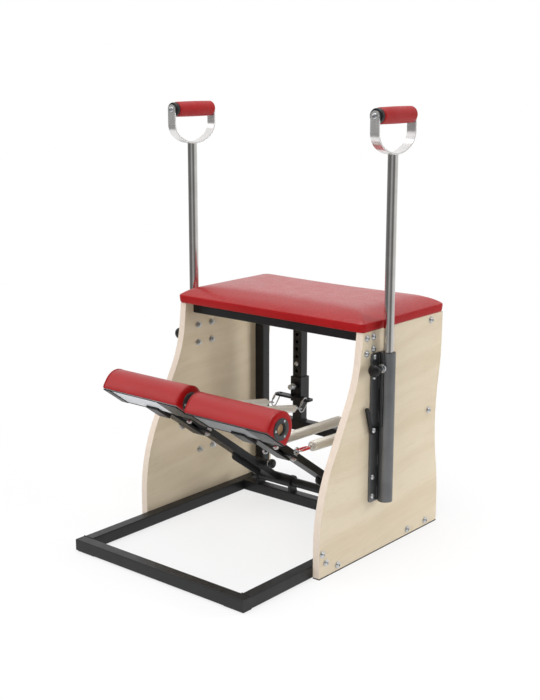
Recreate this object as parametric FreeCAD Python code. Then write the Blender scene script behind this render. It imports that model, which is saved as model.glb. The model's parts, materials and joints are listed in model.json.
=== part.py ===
import FreeCAD, Part
import math
import os

from FreeCAD import Placement, Rotation, Vector

# A split-pedal pilates chair. Millimetres, +Z up, the pedals face -Y, the origin lies on the floor
# under the middle. Places along Y are given as distances back from the front face of the floor frame.
overall_length = 768.0
inside_width = 562.0
panel_top = 577.0

# Side panels: plywood with a swept front edge and a shallow waist at the rear
panel_thickness = 20.0
panel_toe_from_front = 252.0
panel_toe_height = 80.0
panel_toe_radius = 420.0
panel_lean_degrees = 28.5
panel_lean_top = 410.0
panel_brow_degrees = 6.0
panel_brow_straight = 57.0
panel_waist_depth = 20.0
panel_waist_low = 60.0
panel_waist_high = 520.0

# Rubber under the panels and under the floor frame
strip_height = 3.0
pad_height = 2.0
pad_length = 60.0
pad_inset = 3.0

# Welded frame of square tube
tube = 30.0
tube_wall = 2.0
cross_from_rear = 126.0
post_from_rear = 41.0
lower_tube_height = 185.0
seat_tube_from_front = 442.0
seat_end_plate_thickness = 4.0
column_x = 127.0
column_hole_radius = 5.0
column_hole_pitch = 21.0
column_hole_count = 13
column_stop_holes = 3

# Seat: a board inside a padded cover that overhangs the panels a little
seat_height = 47.0
seat_ridge_height = 21.0
seat_draw_in = 5.0
seat_side_overhang = 5.0
seat_front_overhang = 6.5
seat_rear_inset = 0.5
seat_corner_radius = 22.0
seat_shoulder_inset = 7.0
seat_shoulder_drop = 11.0
seat_crown_inset = 26.0
seat_crown_drop = 3.0
seat_crown_top_inset = 95.0
seat_board_thickness = 12.0
seat_board_inset = 16.0

# Hinge: a fixed shaft on saddles over the cross tube, one sleeve per pedal arm
hinge_height = 60.0
shaft_radius = 12.5
sleeve_radius = 16.5
sleeve_length = 108.0
sleeve_end_gap = 1.0
saddle_radius = 18.5
saddle_length = 9.0
running_clearance = 0.05
left_rest_degrees = 35.8
right_rest_degrees = 34.8

# Pedal arms: rectangular tube, measured out from the hinge axis along the arm
arm_x = 143.5
arm_width = 40.0
arm_height = 18.0
arm_wall = 2.0
arm_drop = 0.5
arm_short_of_pedal = 45.0
gusset_near = 80.0
gusset_far = 215.0
gusset_depth = 16.0
gusset_thickness = 6.0

# Pedal mount: a stepped plate under arm and board, and two straps between that plate and the arm
strap_thickness = 6.0
strap_width = 20.0
strap_half_length = 52.0
rear_strap_short_of_pedal = 155.0
front_strap_short_of_pedal = 73.0
plate_thickness = 6.0
plate_width = 40.0
plate_short_of_pedal = 175.0
step_short_of_pedal = 25.0
plate_under_pedal = 24.0
tip_bolt_offset = 45.0
tip_bolt_radius = 4.0
tip_bolt_stand = 8.0
nut_radius = 7.0
nut_height = 6.0
eye_radius = 8.0
eye_wire_radius = 2.5
eye_neck = 1.5

# Pedals: a loaf-shaped pad round a board, with a bored ring at each end for the joining dowel
pedal_inner = 14.5
pedal_length = 258.0
pedal_near = 550.0
pedal_width = 84.0
pedal_side_height = 26.0
pedal_below_arm = 18.0
pedal_end_round = 5.0
pedal_round_length = 12.0
pedal_board_thickness = 8.0
pedal_board_inset = 4.0
ring_height = 27.0
ring_radius = 26.5
ring_thickness = 3.0
ring_spigot_wall = 4.0
ring_spigot_length = 30.0
dowel_radius = 14.0
dowel_end_recess = 4.0

# Spring carriages on the rear columns
wing_height = 287.0
carriage_clearance = 0.35
carriage_wall = 3.0
carriage_below_wing = 16.0
carriage_above_wing = 56.0
wing_half_length = 62.0
wing_thickness = 6.0
wing_reach = 22.0
wing_web = 6.0
wing_hole_radius = 7.0
wing_hole_offset = 50.0
carriage_knob_above_wing = 31.0

# Extension springs with a hooked plug in each end and a snap link at the rear
spring_turns = 24
left_spring_radius = 9.5
right_spring_radius = 12.0
spring_wire_radius = 1.4
plug_clearance = 0.3
plug_turns = 2
hook_radius = 8.0
hook_wire_radius = 1.8
front_stem = 36.0
rear_stem = 10.0
link_gap = 0.3
link_radius = 11.0
link_wire_radius = 2.0
link_straight = 20.0
link_hang_degrees = 50.0

# Mast holders on the outer faces of the panels
mast_from_front = 490.0
mast_radius = 12.5
mast_wall = 2.0
mast_bottom = 146.0
holder_radius = 18.5
holder_wall = 2.0
holder_bottom = 141.0
holder_top = 521.0
holder_plate_thickness = 4.0
holder_weld = 1.0
plate_front_margin = 44.0
plate_rear_margin = 31.0
plate_corner_radius = 8.0
bush_length = 30.0

# Holder bolts through the panel, in two groups of four
holder_bolt_spacing_y = 53.0
holder_bolt_spacing_z = 49.0
holder_bolt_front_margin = 13.0
holder_bolt_top_margin = 10.0
holder_bolt_bottom_margin = 16.0
bolt_radius = 4.0
bolt_head_radius = 7.0
bolt_head_height = 4.0
washer_radius = 9.0
washer_thickness = 1.6
bolt_end = 3.0
wood_screw_length = 14.0

# Bolts through the panels into the frame, and wood screws, as distances from the front and heights
post_bolt_height = 322.0
rail_bolt_from_front = 325.0
toe_screw_from_front = 278.0
toe_screw_height = 38.0
upper_toe_screw_from_front = 263.0
upper_toe_screw_height = 63.0
brow_screw_from_front = 429.0
brow_screw_height = 524.0
inner_brow_screw_from_front = 457.0
inner_brow_screw_height = 532.0
seat_screw_from_front = 430.0
overcut = 1.0

# Pull knobs
pin_radius = 4.0
boss_radius = 9.0
boss_length = 10.0
knob_gap = 0.5
knob_neck_radius = 8.0
knob_neck_length = 7.0
mast_knob_radius = 16.0
mast_knob_length = 15.0
mast_knob_below_top = 36.0
mast_knob_neck_length = 24.0
arm_knob_radius = 13.0
arm_knob_length = 12.0
arm_knob_reach = 95.0
arm_knob_rise = 14.0
carriage_knob_radius = 8.0
carriage_knob_length = 12.0

# Clamp lever beside the holder tube
lever_height = 330.0
lever_from_mast = 40.0
lever_thickness = 6.0
lever_side_gap = 0.4
lever_cam_radius = 11.0
lever_blade_length = 64.0
lever_blade_width = 9.0
lever_blade_lean = 18.0
lever_nose_reach = 20.0
lever_nose_width = 8.0
lever_pin_radius = 4.0

# Masts and D-handles
grip_height = 1085.0
bow_half_width = 75.5
bow_drop = 88.0
bow_width = 25.0
bow_thickness = 4.0
bow_corner_radius = 40.0
bow_corner_degrees = 55.0
grip_radius = 19.5
grip_length = 121.0
collar_radius = 18.0
grip_screw_radius = 3.0
grip_screw_head_radius = 7.0
grip_screw_head_height = 4.0
grip_screw_length = 34.0

# Derived places
half_inside = inside_width / 2.0
panel_face = half_inside + panel_thickness
rail_inner = half_inside - tube
floor_tube_top = pad_height + tube
cross_from_front = overall_length - cross_from_rear - tube
post_from_front = overall_length - post_from_rear - tube
hinge_y = cross_from_front + tube / 2.0 - overall_length / 2.0
post_front = post_from_front - overall_length / 2.0
mast_x = panel_face + holder_plate_thickness + holder_radius - holder_weld
mast_y = mast_from_front - overall_length / 2.0
arm_bottom = -arm_drop - arm_height / 2.0
mount_level = arm_bottom - strap_thickness
pedal_base = arm_bottom - pedal_below_arm
arm_reach = pedal_near - arm_short_of_pedal
strap_reach = {
    "rear": pedal_near - rear_strap_short_of_pedal,
    "front": pedal_near - front_strap_short_of_pedal,
}
plate_near = pedal_near - plate_short_of_pedal
plate_step = pedal_near - step_short_of_pedal
plate_far = pedal_near + plate_under_pedal
rest_angle = {"left": left_rest_degrees, "right": right_rest_degrees}
spring_radius = {"left": left_spring_radius, "right": right_spring_radius}
eye_level = arm_bottom + eye_neck + eye_wire_radius + eye_radius
pedal_middle = pedal_near + pedal_width / 2.0
pedal_outer = pedal_inner + pedal_length
sides = (("left", -1), ("right", 1))


def from_front(distance):
    return distance - overall_length / 2.0


def block(x0, x1, y0, y1, z0, z1):
    low = Vector(min(x0, x1), min(y0, y1), min(z0, z1))
    return Part.makeBox(abs(x1 - x0), abs(y1 - y0), abs(z1 - z0), low)


def rod(radius, start, end):
    axis = end - start
    return Part.makeCylinder(radius, axis.Length, start, axis)


def dome(radius, height, start, direction):
    # A low round head: a plain disc whose outer rim is rounded off
    top = start + direction * height
    disc = rod(radius, start, top)
    rim = [edge for edge in disc.Edges if edge.BoundBox.Center.distanceToPoint(top) < 1e-6]
    return disc.makeFillet(height * 0.6, rim)


def hexagon(radius, height, start, direction):
    # A hexagonal nut, corner radius given, standing on its start along a direction
    turn = Rotation(Vector(0, 0, 1), direction)
    corners = []
    for step in range(7):
        angle = math.radians(60.0 * step)
        corners.append(start + turn.multVec(Vector(radius * math.cos(angle), radius * math.sin(angle), 0)))
    face = Part.Face(Part.makePolygon(corners))
    return face.extrude(direction * height)


def square_tube(x0, x1, y0, y1, z0, z1, along, wall=tube_wall):
    outer = block(x0, x1, y0, y1, z0, z1)
    shrink = {"x": (0, wall, wall), "y": (wall, 0, wall), "z": (wall, wall, 0)}[along]
    dx, dy, dz = shrink
    inner = block(min(x0, x1) + dx, max(x0, x1) - dx, y0 + dy, y1 - dy, z0 + dz, z1 - dz)
    return outer.cut(inner)


def arc_to(start, middle, end):
    return Part.Arc(start, middle, end).toShape()


def line_to(start, end):
    return Part.LineSegment(start, end).toShape()


def lean_arc(start, radius, first, last):
    # An arc in the YZ plane whose direction changes from one lean to another
    sign = 1.0 if last > first else -1.0

    def point(lean):
        a, b = math.radians(first), math.radians(lean)
        dy = sign * radius * (math.cos(a) - math.cos(b))
        dz = sign * radius * (math.sin(b) - math.sin(a))
        return start + Vector(0, dy, dz)

    return arc_to(start, point((first + last) / 2.0), point(last)), point(last)


def panel_outline(x):
    edges = []
    floor = strip_height
    toe = Vector(x, from_front(panel_toe_from_front), floor)
    here = Vector(x, toe.y, panel_toe_height)
    edges.append(line_to(toe, here))
    curve, here = lean_arc(here, panel_toe_radius, 0.0, panel_lean_degrees)
    edges.append(curve)
    rise = panel_lean_top - here.z
    knee = here + Vector(0, rise * math.tan(math.radians(panel_lean_degrees)), rise)
    edges.append(line_to(here, knee))
    spread = math.sin(math.radians(panel_lean_degrees)) - math.sin(math.radians(panel_brow_degrees))
    brow_radius = (panel_top - panel_brow_straight - panel_lean_top) / spread
    curve, here = lean_arc(knee, brow_radius, panel_lean_degrees, panel_brow_degrees)
    edges.append(curve)
    rise = panel_top - here.z
    front_top = here + Vector(0, rise * math.tan(math.radians(panel_brow_degrees)), rise)
    edges.append(line_to(here, front_top))
    rear = overall_length / 2.0
    rear_top = Vector(x, rear, panel_top)
    edges.append(line_to(front_top, rear_top))
    quarter = (panel_waist_high - panel_waist_low) / 4.0
    swing = 2.0 * math.degrees(math.atan(panel_waist_depth / 2.0 / quarter))
    radius = quarter / math.sin(math.radians(swing))
    here = Vector(x, rear, panel_waist_low)
    waist = []
    for first, last in ((0.0, -swing), (-swing, 0.0), (0.0, swing), (swing, 0.0)):
        curve, here = lean_arc(here, radius, first, last)
        waist.append(curve)
    edges.append(line_to(rear_top, Vector(x, rear, panel_waist_high)))
    edges.extend(reversed(waist))
    rear_floor = Vector(x, rear, floor)
    edges.append(line_to(Vector(x, rear, panel_waist_low), rear_floor))
    edges.append(line_to(rear_floor, toe))
    return Part.Wire(Part.__sortEdges__(edges)), front_top.y


seat_front_edge = panel_outline(0.0)[1]


# Where the bolts go through a side panel: (distance from the front, height)
def frame_bolt_places():
    post = post_from_front + tube / 2.0
    low = pad_height + tube / 2.0
    return {
        "post": [(post, low), (post, post_bolt_height), (post, panel_top - tube / 2.0)],
        "rail": [(rail_bolt_from_front, low), (cross_from_front + tube / 2.0, low)],
        "seat": seat_tube_bolts(),
        "wood": [
            (toe_screw_from_front, toe_screw_height),
            (upper_toe_screw_from_front, upper_toe_screw_height),
            (brow_screw_from_front, brow_screw_height),
            (inner_brow_screw_from_front, inner_brow_screw_height),
            (seat_screw_from_front, panel_top - tube / 2.0),
        ],
    }


def seat_tube_bolts():
    return [(seat_tube_from_front + tube / 2.0, panel_top - tube / 2.0)]


def holder_bolt_places():
    front = mast_from_front - plate_front_margin + holder_bolt_front_margin
    rows_y = (front, front + holder_bolt_spacing_y)
    high = holder_top - holder_bolt_top_margin
    low = holder_bottom + holder_bolt_bottom_margin
    rows_z = (high, high - holder_bolt_spacing_z, low, low + holder_bolt_spacing_z)
    return [(y, z) for y in rows_y for z in rows_z]


def drill_x(shape, places, radius, x0, x1):
    for y, z in places:
        shape = shape.cut(rod(radius, Vector(x0, from_front(y), z), Vector(x1, from_front(y), z)))
    return shape


def make_panel(side):
    wire, _ = panel_outline(side * half_inside)
    panel = Part.Face(wire).extrude(Vector(side * panel_thickness, 0, 0))
    places = frame_bolt_places()
    through = places["post"] + places["rail"] + places["seat"] + holder_bolt_places()
    outside = side * (panel_face + overcut)
    panel = drill_x(panel, through, bolt_radius, side * (half_inside - overcut), outside)
    blind = side * (panel_face - wood_screw_length)
    return drill_x(panel, places["wood"], bolt_radius, blind, outside)


def make_rubber_feet():
    feet = []
    for _, side in sides:
        toe = from_front(panel_toe_from_front)
        feet.append(block(side * half_inside, side * panel_face, toe, overall_length / 2.0, 0, strip_height))
        near = half_inside - pad_inset
        front = from_front(pad_inset)
        wide = tube - 2 * pad_inset
        feet.append(block(side * near, side * (near - pad_length), front, front + wide, 0, pad_height))
    return Part.makeCompound(feet)


def make_floor_rail(side):
    rail = square_tube(side * rail_inner, side * half_inside, from_front(tube), post_front,
                       pad_height, floor_tube_top, "y")
    places = frame_bolt_places()["rail"]
    inside = side * (half_inside - tube_wall - overcut)
    return drill_x(rail, places, bolt_radius, inside, side * (half_inside + overcut))


def make_rear_post(side):
    post = square_tube(side * rail_inner, side * half_inside, post_front, post_front + tube,
                       pad_height, panel_top, "z")
    places = frame_bolt_places()["post"]
    inside = side * (half_inside - tube_wall - overcut)
    return drill_x(post, places, bolt_radius, inside, side * (half_inside + overcut))


def cross_tube(half, y, z):
    return square_tube(-half, half, y, y + tube, z, z + tube, "x")


def make_front_floor_tube():
    # The only open tube ends on show are closed by caps let into them
    bar = cross_tube(half_inside, from_front(0), pad_height)
    caps = []
    for _, side in sides:
        caps.append(block(side * (half_inside - tube_wall), side * half_inside, from_front(tube_wall),
                          from_front(tube - tube_wall), pad_height + tube_wall, floor_tube_top - tube_wall))
    return Part.makeCompound([bar] + caps)


def make_front_seat_tube():
    y = from_front(seat_tube_from_front)
    inner = half_inside - seat_end_plate_thickness
    bar = square_tube(-inner, inner, y, y + tube, panel_top - tube, panel_top, "x")
    for _, side in sides:
        plate = block(side * inner, side * half_inside, y, y + tube, panel_top - tube, panel_top)
        inside = side * (inner - overcut)
        plate = drill_x(plate, seat_tube_bolts(), bolt_radius, inside, side * (half_inside + overcut))
        bar = bar.fuse(plate)
    return bar.removeSplitter()


def make_column(side):
    bottom = lower_tube_height + tube
    top = panel_top - tube
    half = tube / 2.0
    x = side * column_x
    column = square_tube(x - half, x + half, post_front, post_front + tube, bottom, top, "z")
    for height in column_hole_heights():
        hole = rod(column_hole_radius, Vector(x, post_front - 1, height),
                   Vector(x, post_front + tube_wall + 1, height))
        column = column.cut(hole)
    return column


def column_hole_heights():
    # Evenly pitched holes, counted so that one lies behind the carriage's pull knob
    knob = wing_height + carriage_knob_above_wing
    return [knob + column_hole_pitch * (step - column_stop_holes) for step in range(column_hole_count)]


def make_column_stops():
    # A bolt in the front of each column above and below its carriage
    bolts = []
    out = Vector(0, -1, 0)
    heights = column_hole_heights()
    for _, side in sides:
        for z in (heights[0], heights[2 * column_stop_holes]):
            face = Vector(side * column_x, post_front, z)
            shank = rod(column_hole_radius, face - out * (tube_wall + bolt_end), face)
            bolts.append(shank.fuse(dome(bolt_head_radius, bolt_head_height, face, out)))
    return Part.makeCompound(bolts)


def seat_outline(inset, z):
    # A rounded rectangle of four lines and four quarter arcs, drawn in from the widest line of the seat
    x = panel_face + seat_side_overhang - inset
    front = seat_front_edge - seat_front_overhang + inset
    rear = overall_length / 2.0 - seat_rear_inset - inset
    r = seat_corner_radius
    k = r * math.sqrt(0.5)
    edges = []
    centres = (
        (x - r, front + r, 1, -1),
        (x - r, rear - r, 1, 1),
        (-x + r, rear - r, -1, 1),
        (-x + r, front + r, -1, -1),
    )
    arcs = []
    for cx, cy, sx, sy in centres:
        ends = [Vector(cx, cy + sy * r, z), Vector(cx + sx * r, cy, z)]
        if sx * sy > 0:
            ends.reverse()
        arcs.append((ends[0], Vector(cx + sx * k, cy + sy * k, z), ends[1]))
    for index, (start, middle, end) in enumerate(arcs):
        edges.append(arc_to(start, middle, end))
        edges.append(line_to(end, arcs[(index + 1) % 4][0]))
    return Part.Wire(edges)


def make_seat():
    base = panel_top
    shoulder = seat_height - seat_shoulder_drop
    crown = seat_height - seat_crown_drop
    steps = [
        (seat_draw_in, 0.0),
        (seat_draw_in * 0.25, seat_ridge_height * 0.6),
        (0.0, seat_ridge_height),
        (seat_shoulder_inset * 0.2, (seat_ridge_height + shoulder) / 2.0),
        (seat_shoulder_inset, shoulder),
        ((seat_shoulder_inset + seat_crown_inset) / 2.0, (shoulder + 2 * crown) / 3.0),
        (seat_crown_inset, crown),
        (seat_crown_top_inset, seat_height),
    ]
    pad = Part.makeLoft([seat_outline(inset, base + rise) for inset, rise in steps], True, True)
    x = panel_face + seat_side_overhang - seat_board_inset
    front = seat_front_edge - seat_front_overhang + seat_board_inset
    rear = overall_length / 2.0 - seat_rear_inset - seat_board_inset
    board = block(-x, x, front, rear, base, base + seat_board_thickness)
    return board, pad.cut(board)


def saddle_ends():
    # The saddles stand at both ends of each sleeve
    inner = arm_x - sleeve_length / 2.0 - sleeve_end_gap
    outer = arm_x + sleeve_length / 2.0 + sleeve_end_gap
    return inner - saddle_length, inner, outer, outer + saddle_length


def make_hinge_saddles():
    inner_start, inner_end, outer_start, outer_end = saddle_ends()
    saddles = []
    for _, side in sides:
        for x0, x1 in ((side * inner_start, side * inner_end), (side * outer_start, side * outer_end)):
            start = Vector(x0, hinge_y, hinge_height)
            end = Vector(x1, hinge_y, hinge_height)
            foot = block(x0, x1, hinge_y - tube / 2.0, hinge_y + tube / 2.0, floor_tube_top, hinge_height)
            saddles.append(rod(saddle_radius, start, end).fuse(foot).cut(rod(shaft_radius, start, end)))
    return Part.makeCompound(saddles)


def make_hinge_shaft():
    end = saddle_ends()[3]
    return rod(shaft_radius, Vector(-end, hinge_y, hinge_height), Vector(end, hinge_y, hinge_height))


def panel_bolt(side, y, z, reach):
    # Domed head and washer outside the panel, shank running in to the given depth
    out = Vector(side, 0, 0)
    face = Vector(side * panel_face, from_front(y), z)
    washer = rod(washer_radius, face, face + out * washer_thickness)
    head = dome(bolt_head_radius, bolt_head_height, face + out * washer_thickness, out)
    shank = rod(bolt_radius, face - out * reach, face)
    return washer.fuse([head, shank])


def make_panel_bolts():
    places = frame_bolt_places()
    bolts = []
    for _, side in sides:
        for y, z in places["post"] + places["rail"]:
            bolts.append(panel_bolt(side, y, z, panel_thickness + tube_wall + bolt_end))
        for y, z in places["seat"]:
            bolts.append(panel_bolt(side, y, z, panel_thickness + seat_end_plate_thickness + bolt_end))
        for y, z in places["wood"]:
            bolts.append(panel_bolt(side, y, z, wood_screw_length))
    return Part.makeCompound(bolts)


def rounded_plate(x0, x1, y0, y1, z0, z1):
    plate = block(x0, x1, y0, y1, z0, z1)
    corners = [edge for edge in plate.Edges if edge.BoundBox.XLength > abs(x1 - x0) / 2.0]
    return plate.makeFillet(plate_corner_radius, corners)


def make_mast_holder(side):
    # A back plate, the guide tube welded to it and the boss for the pull knob
    plate = rounded_plate(side * panel_face, side * (panel_face + holder_plate_thickness),
                          mast_y - plate_front_margin, mast_y + plate_rear_margin, holder_bottom, holder_top)
    plate = drill_x(plate, holder_bolt_places(), bolt_radius, side * (panel_face - 1),
                    side * (panel_face + holder_plate_thickness + 1))
    foot = Vector(side * mast_x, mast_y, holder_bottom)
    head = Vector(side * mast_x, mast_y, holder_top)
    up = Vector(0, 0, 1)
    knob = mast_knob_axis(side)
    boss = rod(boss_radius, knob + Vector(0, holder_radius - holder_weld, 0), knob)
    holder = plate.fuse([rod(holder_radius, foot, head), boss])
    holder = holder.cut(rod(holder_radius - holder_wall, foot - up, head + up))
    pin_end = knob + Vector(0, boss_length + holder_radius, 0)
    pin_hole = rod(pin_radius + running_clearance, knob - Vector(0, overcut, 0), pin_end)
    return holder.cut(pin_hole).removeSplitter()


def mast_knob_axis(side):
    # Outer end of the boss that carries the mast's pull knob
    return Vector(side * mast_x, mast_y - holder_radius - boss_length, holder_top - mast_knob_below_top)


def make_holder_bushes():
    bushes = []
    for _, side in sides:
        for low in (holder_bottom, holder_top - bush_length):
            start = Vector(side * mast_x, mast_y, low)
            end = start + Vector(0, 0, bush_length)
            bush = rod(holder_radius - holder_wall, start, end)
            bushes.append(bush.cut(rod(mast_radius + running_clearance, start, end)))
    return Part.makeCompound(bushes)


def lever_pivot(side):
    x = side * (panel_face + holder_plate_thickness)
    return Vector(x, mast_y - lever_from_mast, lever_height)


def make_holder_bolts():
    # Through bolts that hold the plates, with washers and nuts inside, and the two lever pivots
    bolts = []
    for _, side in sides:
        out = Vector(side, 0, 0)
        for y, z in holder_bolt_places():
            face = Vector(side * (panel_face + holder_plate_thickness), from_front(y), z)
            inside = Vector(side * half_inside, from_front(y), z)
            end = inside - out * (washer_thickness + nut_height + bolt_end)
            shank = rod(bolt_radius, end, face)
            head = dome(bolt_head_radius, bolt_head_height, face, out)
            washer = rod(washer_radius, inside, inside - out * washer_thickness)
            nut = hexagon(nut_radius, nut_height, inside - out * washer_thickness, out * -1.0)
            bolts.append(head.fuse([shank, washer, nut]))
        start = lever_pivot(side)
        shoulder = start + out * (lever_thickness + 2 * lever_side_gap)
        pin = rod(lever_pin_radius, start, shoulder)
        bolts.append(pin.fuse(dome(bolt_head_radius, bolt_head_height, shoulder, out)))
    return Part.makeCompound(bolts)


def make_clamp_lever(side):
    pivot = lever_pivot(side) + Vector(side * lever_side_gap, 0, 0)
    out = Vector(side * lever_thickness, 0, 0)
    cam = rod(lever_cam_radius, pivot, pivot + out)
    blade = block(0, out.x, -lever_blade_width / 2.0, lever_blade_width / 2.0, 0, lever_blade_length)
    tips = [edge for edge in blade.Edges if abs(edge.BoundBox.Center.z - lever_blade_length) < 1e-6
            and edge.BoundBox.XLength > lever_thickness / 2.0]
    blade = blade.makeFillet(lever_blade_width * 0.45, tips)
    lean = Rotation(Vector(1, 0, 0), lever_blade_lean)
    heel = Vector(0, -lever_cam_radius + lever_blade_width / 2.0, 0)
    blade.Placement = Placement(pivot + heel, lean)
    hole = rod(lever_pin_radius + running_clearance, pivot - out, pivot + out * 2.0)
    # A nose that bears on the guide tube when the lever is turned home
    nose = block(0, out.x, 0, lever_nose_reach, -lever_nose_width / 2.0, lever_nose_width / 2.0)
    nose.Placement = Placement(pivot, Rotation())
    return cam.fuse([blade, nose]).cut(hole).removeSplitter()


def bow_half(side_y, offset):
    # One half of the handle bow in its YZ plane, from the leg's top down to the bottom centre
    w = bow_half_width
    turn = math.radians(bow_corner_degrees)
    r1 = bow_corner_radius
    r2 = (w - r1 * (1 - math.cos(turn))) / math.cos(turn)
    leg = bow_drop - r1 * math.sin(turn) - r2 * (1 - math.sin(turn))
    corner = Vector(0, w - r1, -leg)
    base = Vector(0, 0, -bow_drop + r2)
    r1 = r1 + offset
    r2 = r2 + offset

    def on_circle(centre, radius, angle):
        return centre + Vector(0, radius * math.cos(angle), -radius * math.sin(angle))

    top = Vector(0, w + offset, bow_width)
    points = [top, on_circle(corner, r1, 0.0), on_circle(corner, r1, turn / 2.0), on_circle(corner, r1, turn),
              on_circle(base, r2, (turn + math.pi / 2.0) / 2.0), on_circle(base, r2, math.pi / 2.0)]
    return [Vector(0, side_y * p.y, p.z) for p in points]


def bow_edges(points):
    return [line_to(points[0], points[1]), arc_to(points[1], points[2], points[3]),
            arc_to(points[3], points[4], points[5])]


def make_bow(side):
    half = bow_thickness / 2.0
    solids = []
    for side_y in (-1, 1):
        outer = bow_half(side_y, half)
        inner = bow_half(side_y, -half)
        edges = bow_edges(outer) + bow_edges(inner)
        edges.append(line_to(outer[0], inner[0]))
        edges.append(line_to(outer[-1], inner[-1]))
        face = Part.Face(Part.Wire(Part.__sortEdges__(edges)))
        face.translate(Vector(-bow_width / 2.0, 0, 0))
        solids.append(face.extrude(Vector(bow_width, 0, 0)))
    strap = solids[0].fuse(solids[1]).removeSplitter()
    reach = bow_half_width + bow_thickness
    width = bow_width / 2.0
    shape = block(-width, width, -reach, reach, -bow_drop - bow_thickness, 0)
    shape = shape.fuse(rod(width, Vector(0, -reach, 0), Vector(0, reach, 0)))
    strap = strap.common(shape)
    strap = strap.cut(rod(grip_screw_radius, Vector(0, -reach, 0), Vector(0, reach, 0)))
    strap.translate(Vector(side * mast_x, mast_y, grip_height))
    return strap


def make_mast(side):
    foot = Vector(side * mast_x, mast_y, mast_bottom)
    head = Vector(side * mast_x, mast_y, grip_height - bow_drop + bow_thickness)
    mast = rod(mast_radius, foot, head).cut(rod(mast_radius - mast_wall, foot, head))
    turn = math.radians(bow_corner_degrees)
    seat_radius = (bow_half_width - bow_corner_radius * (1 - math.cos(turn))) / math.cos(turn)
    centre = Vector(side * mast_x, mast_y, grip_height - bow_drop + seat_radius)
    reach = Vector(mast_radius * 2, 0, 0)
    return mast.cut(rod(seat_radius + bow_thickness / 2.0, centre - reach, centre + reach))


def make_grip(side):
    centre = Vector(side * mast_x, mast_y, grip_height)
    half = Vector(0, grip_length / 2.0, 0)
    grip = rod(grip_radius, centre - half, centre + half)
    return grip.cut(rod(grip_screw_radius, centre - half, centre + half))


def make_grip_fittings(side):
    # A collar between the grip and each leg, and a screw through leg and collar into the grip
    centre = Vector(side * mast_x, mast_y, grip_height)
    pieces_here = []
    for end in (-1, 1):
        out = Vector(0, end, 0)
        near = centre + out * (grip_length / 2.0)
        far = centre + out * (bow_half_width - bow_thickness / 2.0)
        outside = centre + out * (bow_half_width + bow_thickness / 2.0)
        collar = rod(collar_radius, near, far)
        pieces_here.append(collar.cut(rod(grip_screw_radius, near, far)))
        shank = rod(grip_screw_radius, outside - out * grip_screw_length, outside)
        pieces_here.append(shank.fuse(dome(grip_screw_head_radius, grip_screw_head_height, outside, out)))
    return Part.makeCompound(pieces_here)


def knob_on(start, direction, pin_length, radius, length, neck_length=knob_neck_length):
    # A pull knob: a pin reaching back from the boss face, a neck and a rounded head in front of it
    neck_start = start + direction * knob_gap
    head_start = neck_start + direction * neck_length
    pin = rod(pin_radius, start - direction * pin_length, neck_start)
    neck = rod(knob_neck_radius, neck_start, head_start)
    head = rod(radius, head_start, head_start + direction * length)
    rims = [edge for edge in head.Edges if isinstance(edge.Curve, Part.Circle)]
    head = head.makeFillet(min(length, radius) * 0.3, rims)
    return head.fuse([neck, pin])


def make_mast_knob(side):
    return knob_on(mast_knob_axis(side), Vector(0, -1, 0), boss_length + holder_wall,
                   mast_knob_radius, mast_knob_length, mast_knob_neck_length)


# Pedal pieces are drawn with the arm level: +X across, -Y out along the arm, Z up from the hinge axis
def on_arm(x, reach, rise):
    return Vector(x, -reach, rise)


def arm_block(x0, x1, near, far, low, high):
    return block(x0, x1, -far, -near, low, high)


def arm_placement(name):
    turn = Rotation(Vector(1, 0, 0), -rest_angle[name])
    return Placement(Vector(0, hinge_y, hinge_height), turn)


def raised(shape, name):
    moved = shape.copy()
    moved.Placement = arm_placement(name).multiply(shape.Placement)
    return moved


def make_arm(name, side):
    x = side * arm_x
    half = arm_width / 2.0
    top = arm_bottom + arm_height
    outer = arm_block(x - half, x + half, 0, arm_reach, arm_bottom, top)
    hollow = arm_block(x - half + arm_wall, x + half - arm_wall, sleeve_radius - arm_wall, arm_reach + 1,
                       arm_bottom + arm_wall, top - arm_wall)
    sleeve = rod(sleeve_radius, Vector(x - sleeve_length / 2.0, 0, 0), Vector(x + sleeve_length / 2.0, 0, 0))
    web = gusset_thickness / 2.0
    gusset = arm_block(x - web, x + web, gusset_near, gusset_far, arm_bottom - gusset_depth, arm_bottom)
    ends = [edge for edge in gusset.Edges if edge.BoundBox.XLength > web
            and abs(edge.BoundBox.Center.z - arm_bottom + gusset_depth) < 1e-6]
    gusset = gusset.makeFillet(gusset_depth * 0.8, ends)
    across = Vector(side, 0, 0)
    boss = rod(boss_radius, arm_knob_axis(side), arm_knob_axis(side) + across * (boss_length + arm_width))
    arm = outer.cut(hollow).fuse([sleeve, gusset, boss])
    bore_ends = (Vector(x - sleeve_length, 0, 0), Vector(x + sleeve_length, 0, 0))
    arm = arm.cut(rod(shaft_radius + running_clearance, *bore_ends))
    pin_end = arm_knob_axis(side) + across * (boss_length + arm_width / 2.0)
    arm = arm.cut(rod(pin_radius + running_clearance, arm_knob_axis(side) - across, pin_end))
    return raised(arm.removeSplitter(), name)


def arm_knob_axis(side):
    # Inner end of the boss that lies across the top of the arm
    return on_arm(side * (arm_x - arm_width / 2.0 - boss_length), arm_knob_reach, arm_knob_rise)


def make_arm_knob(name, side):
    knob = knob_on(arm_knob_axis(side), Vector(-side, 0, 0), boss_length + arm_wall,
                   arm_knob_radius, arm_knob_length)
    return raised(knob, name)


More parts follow.
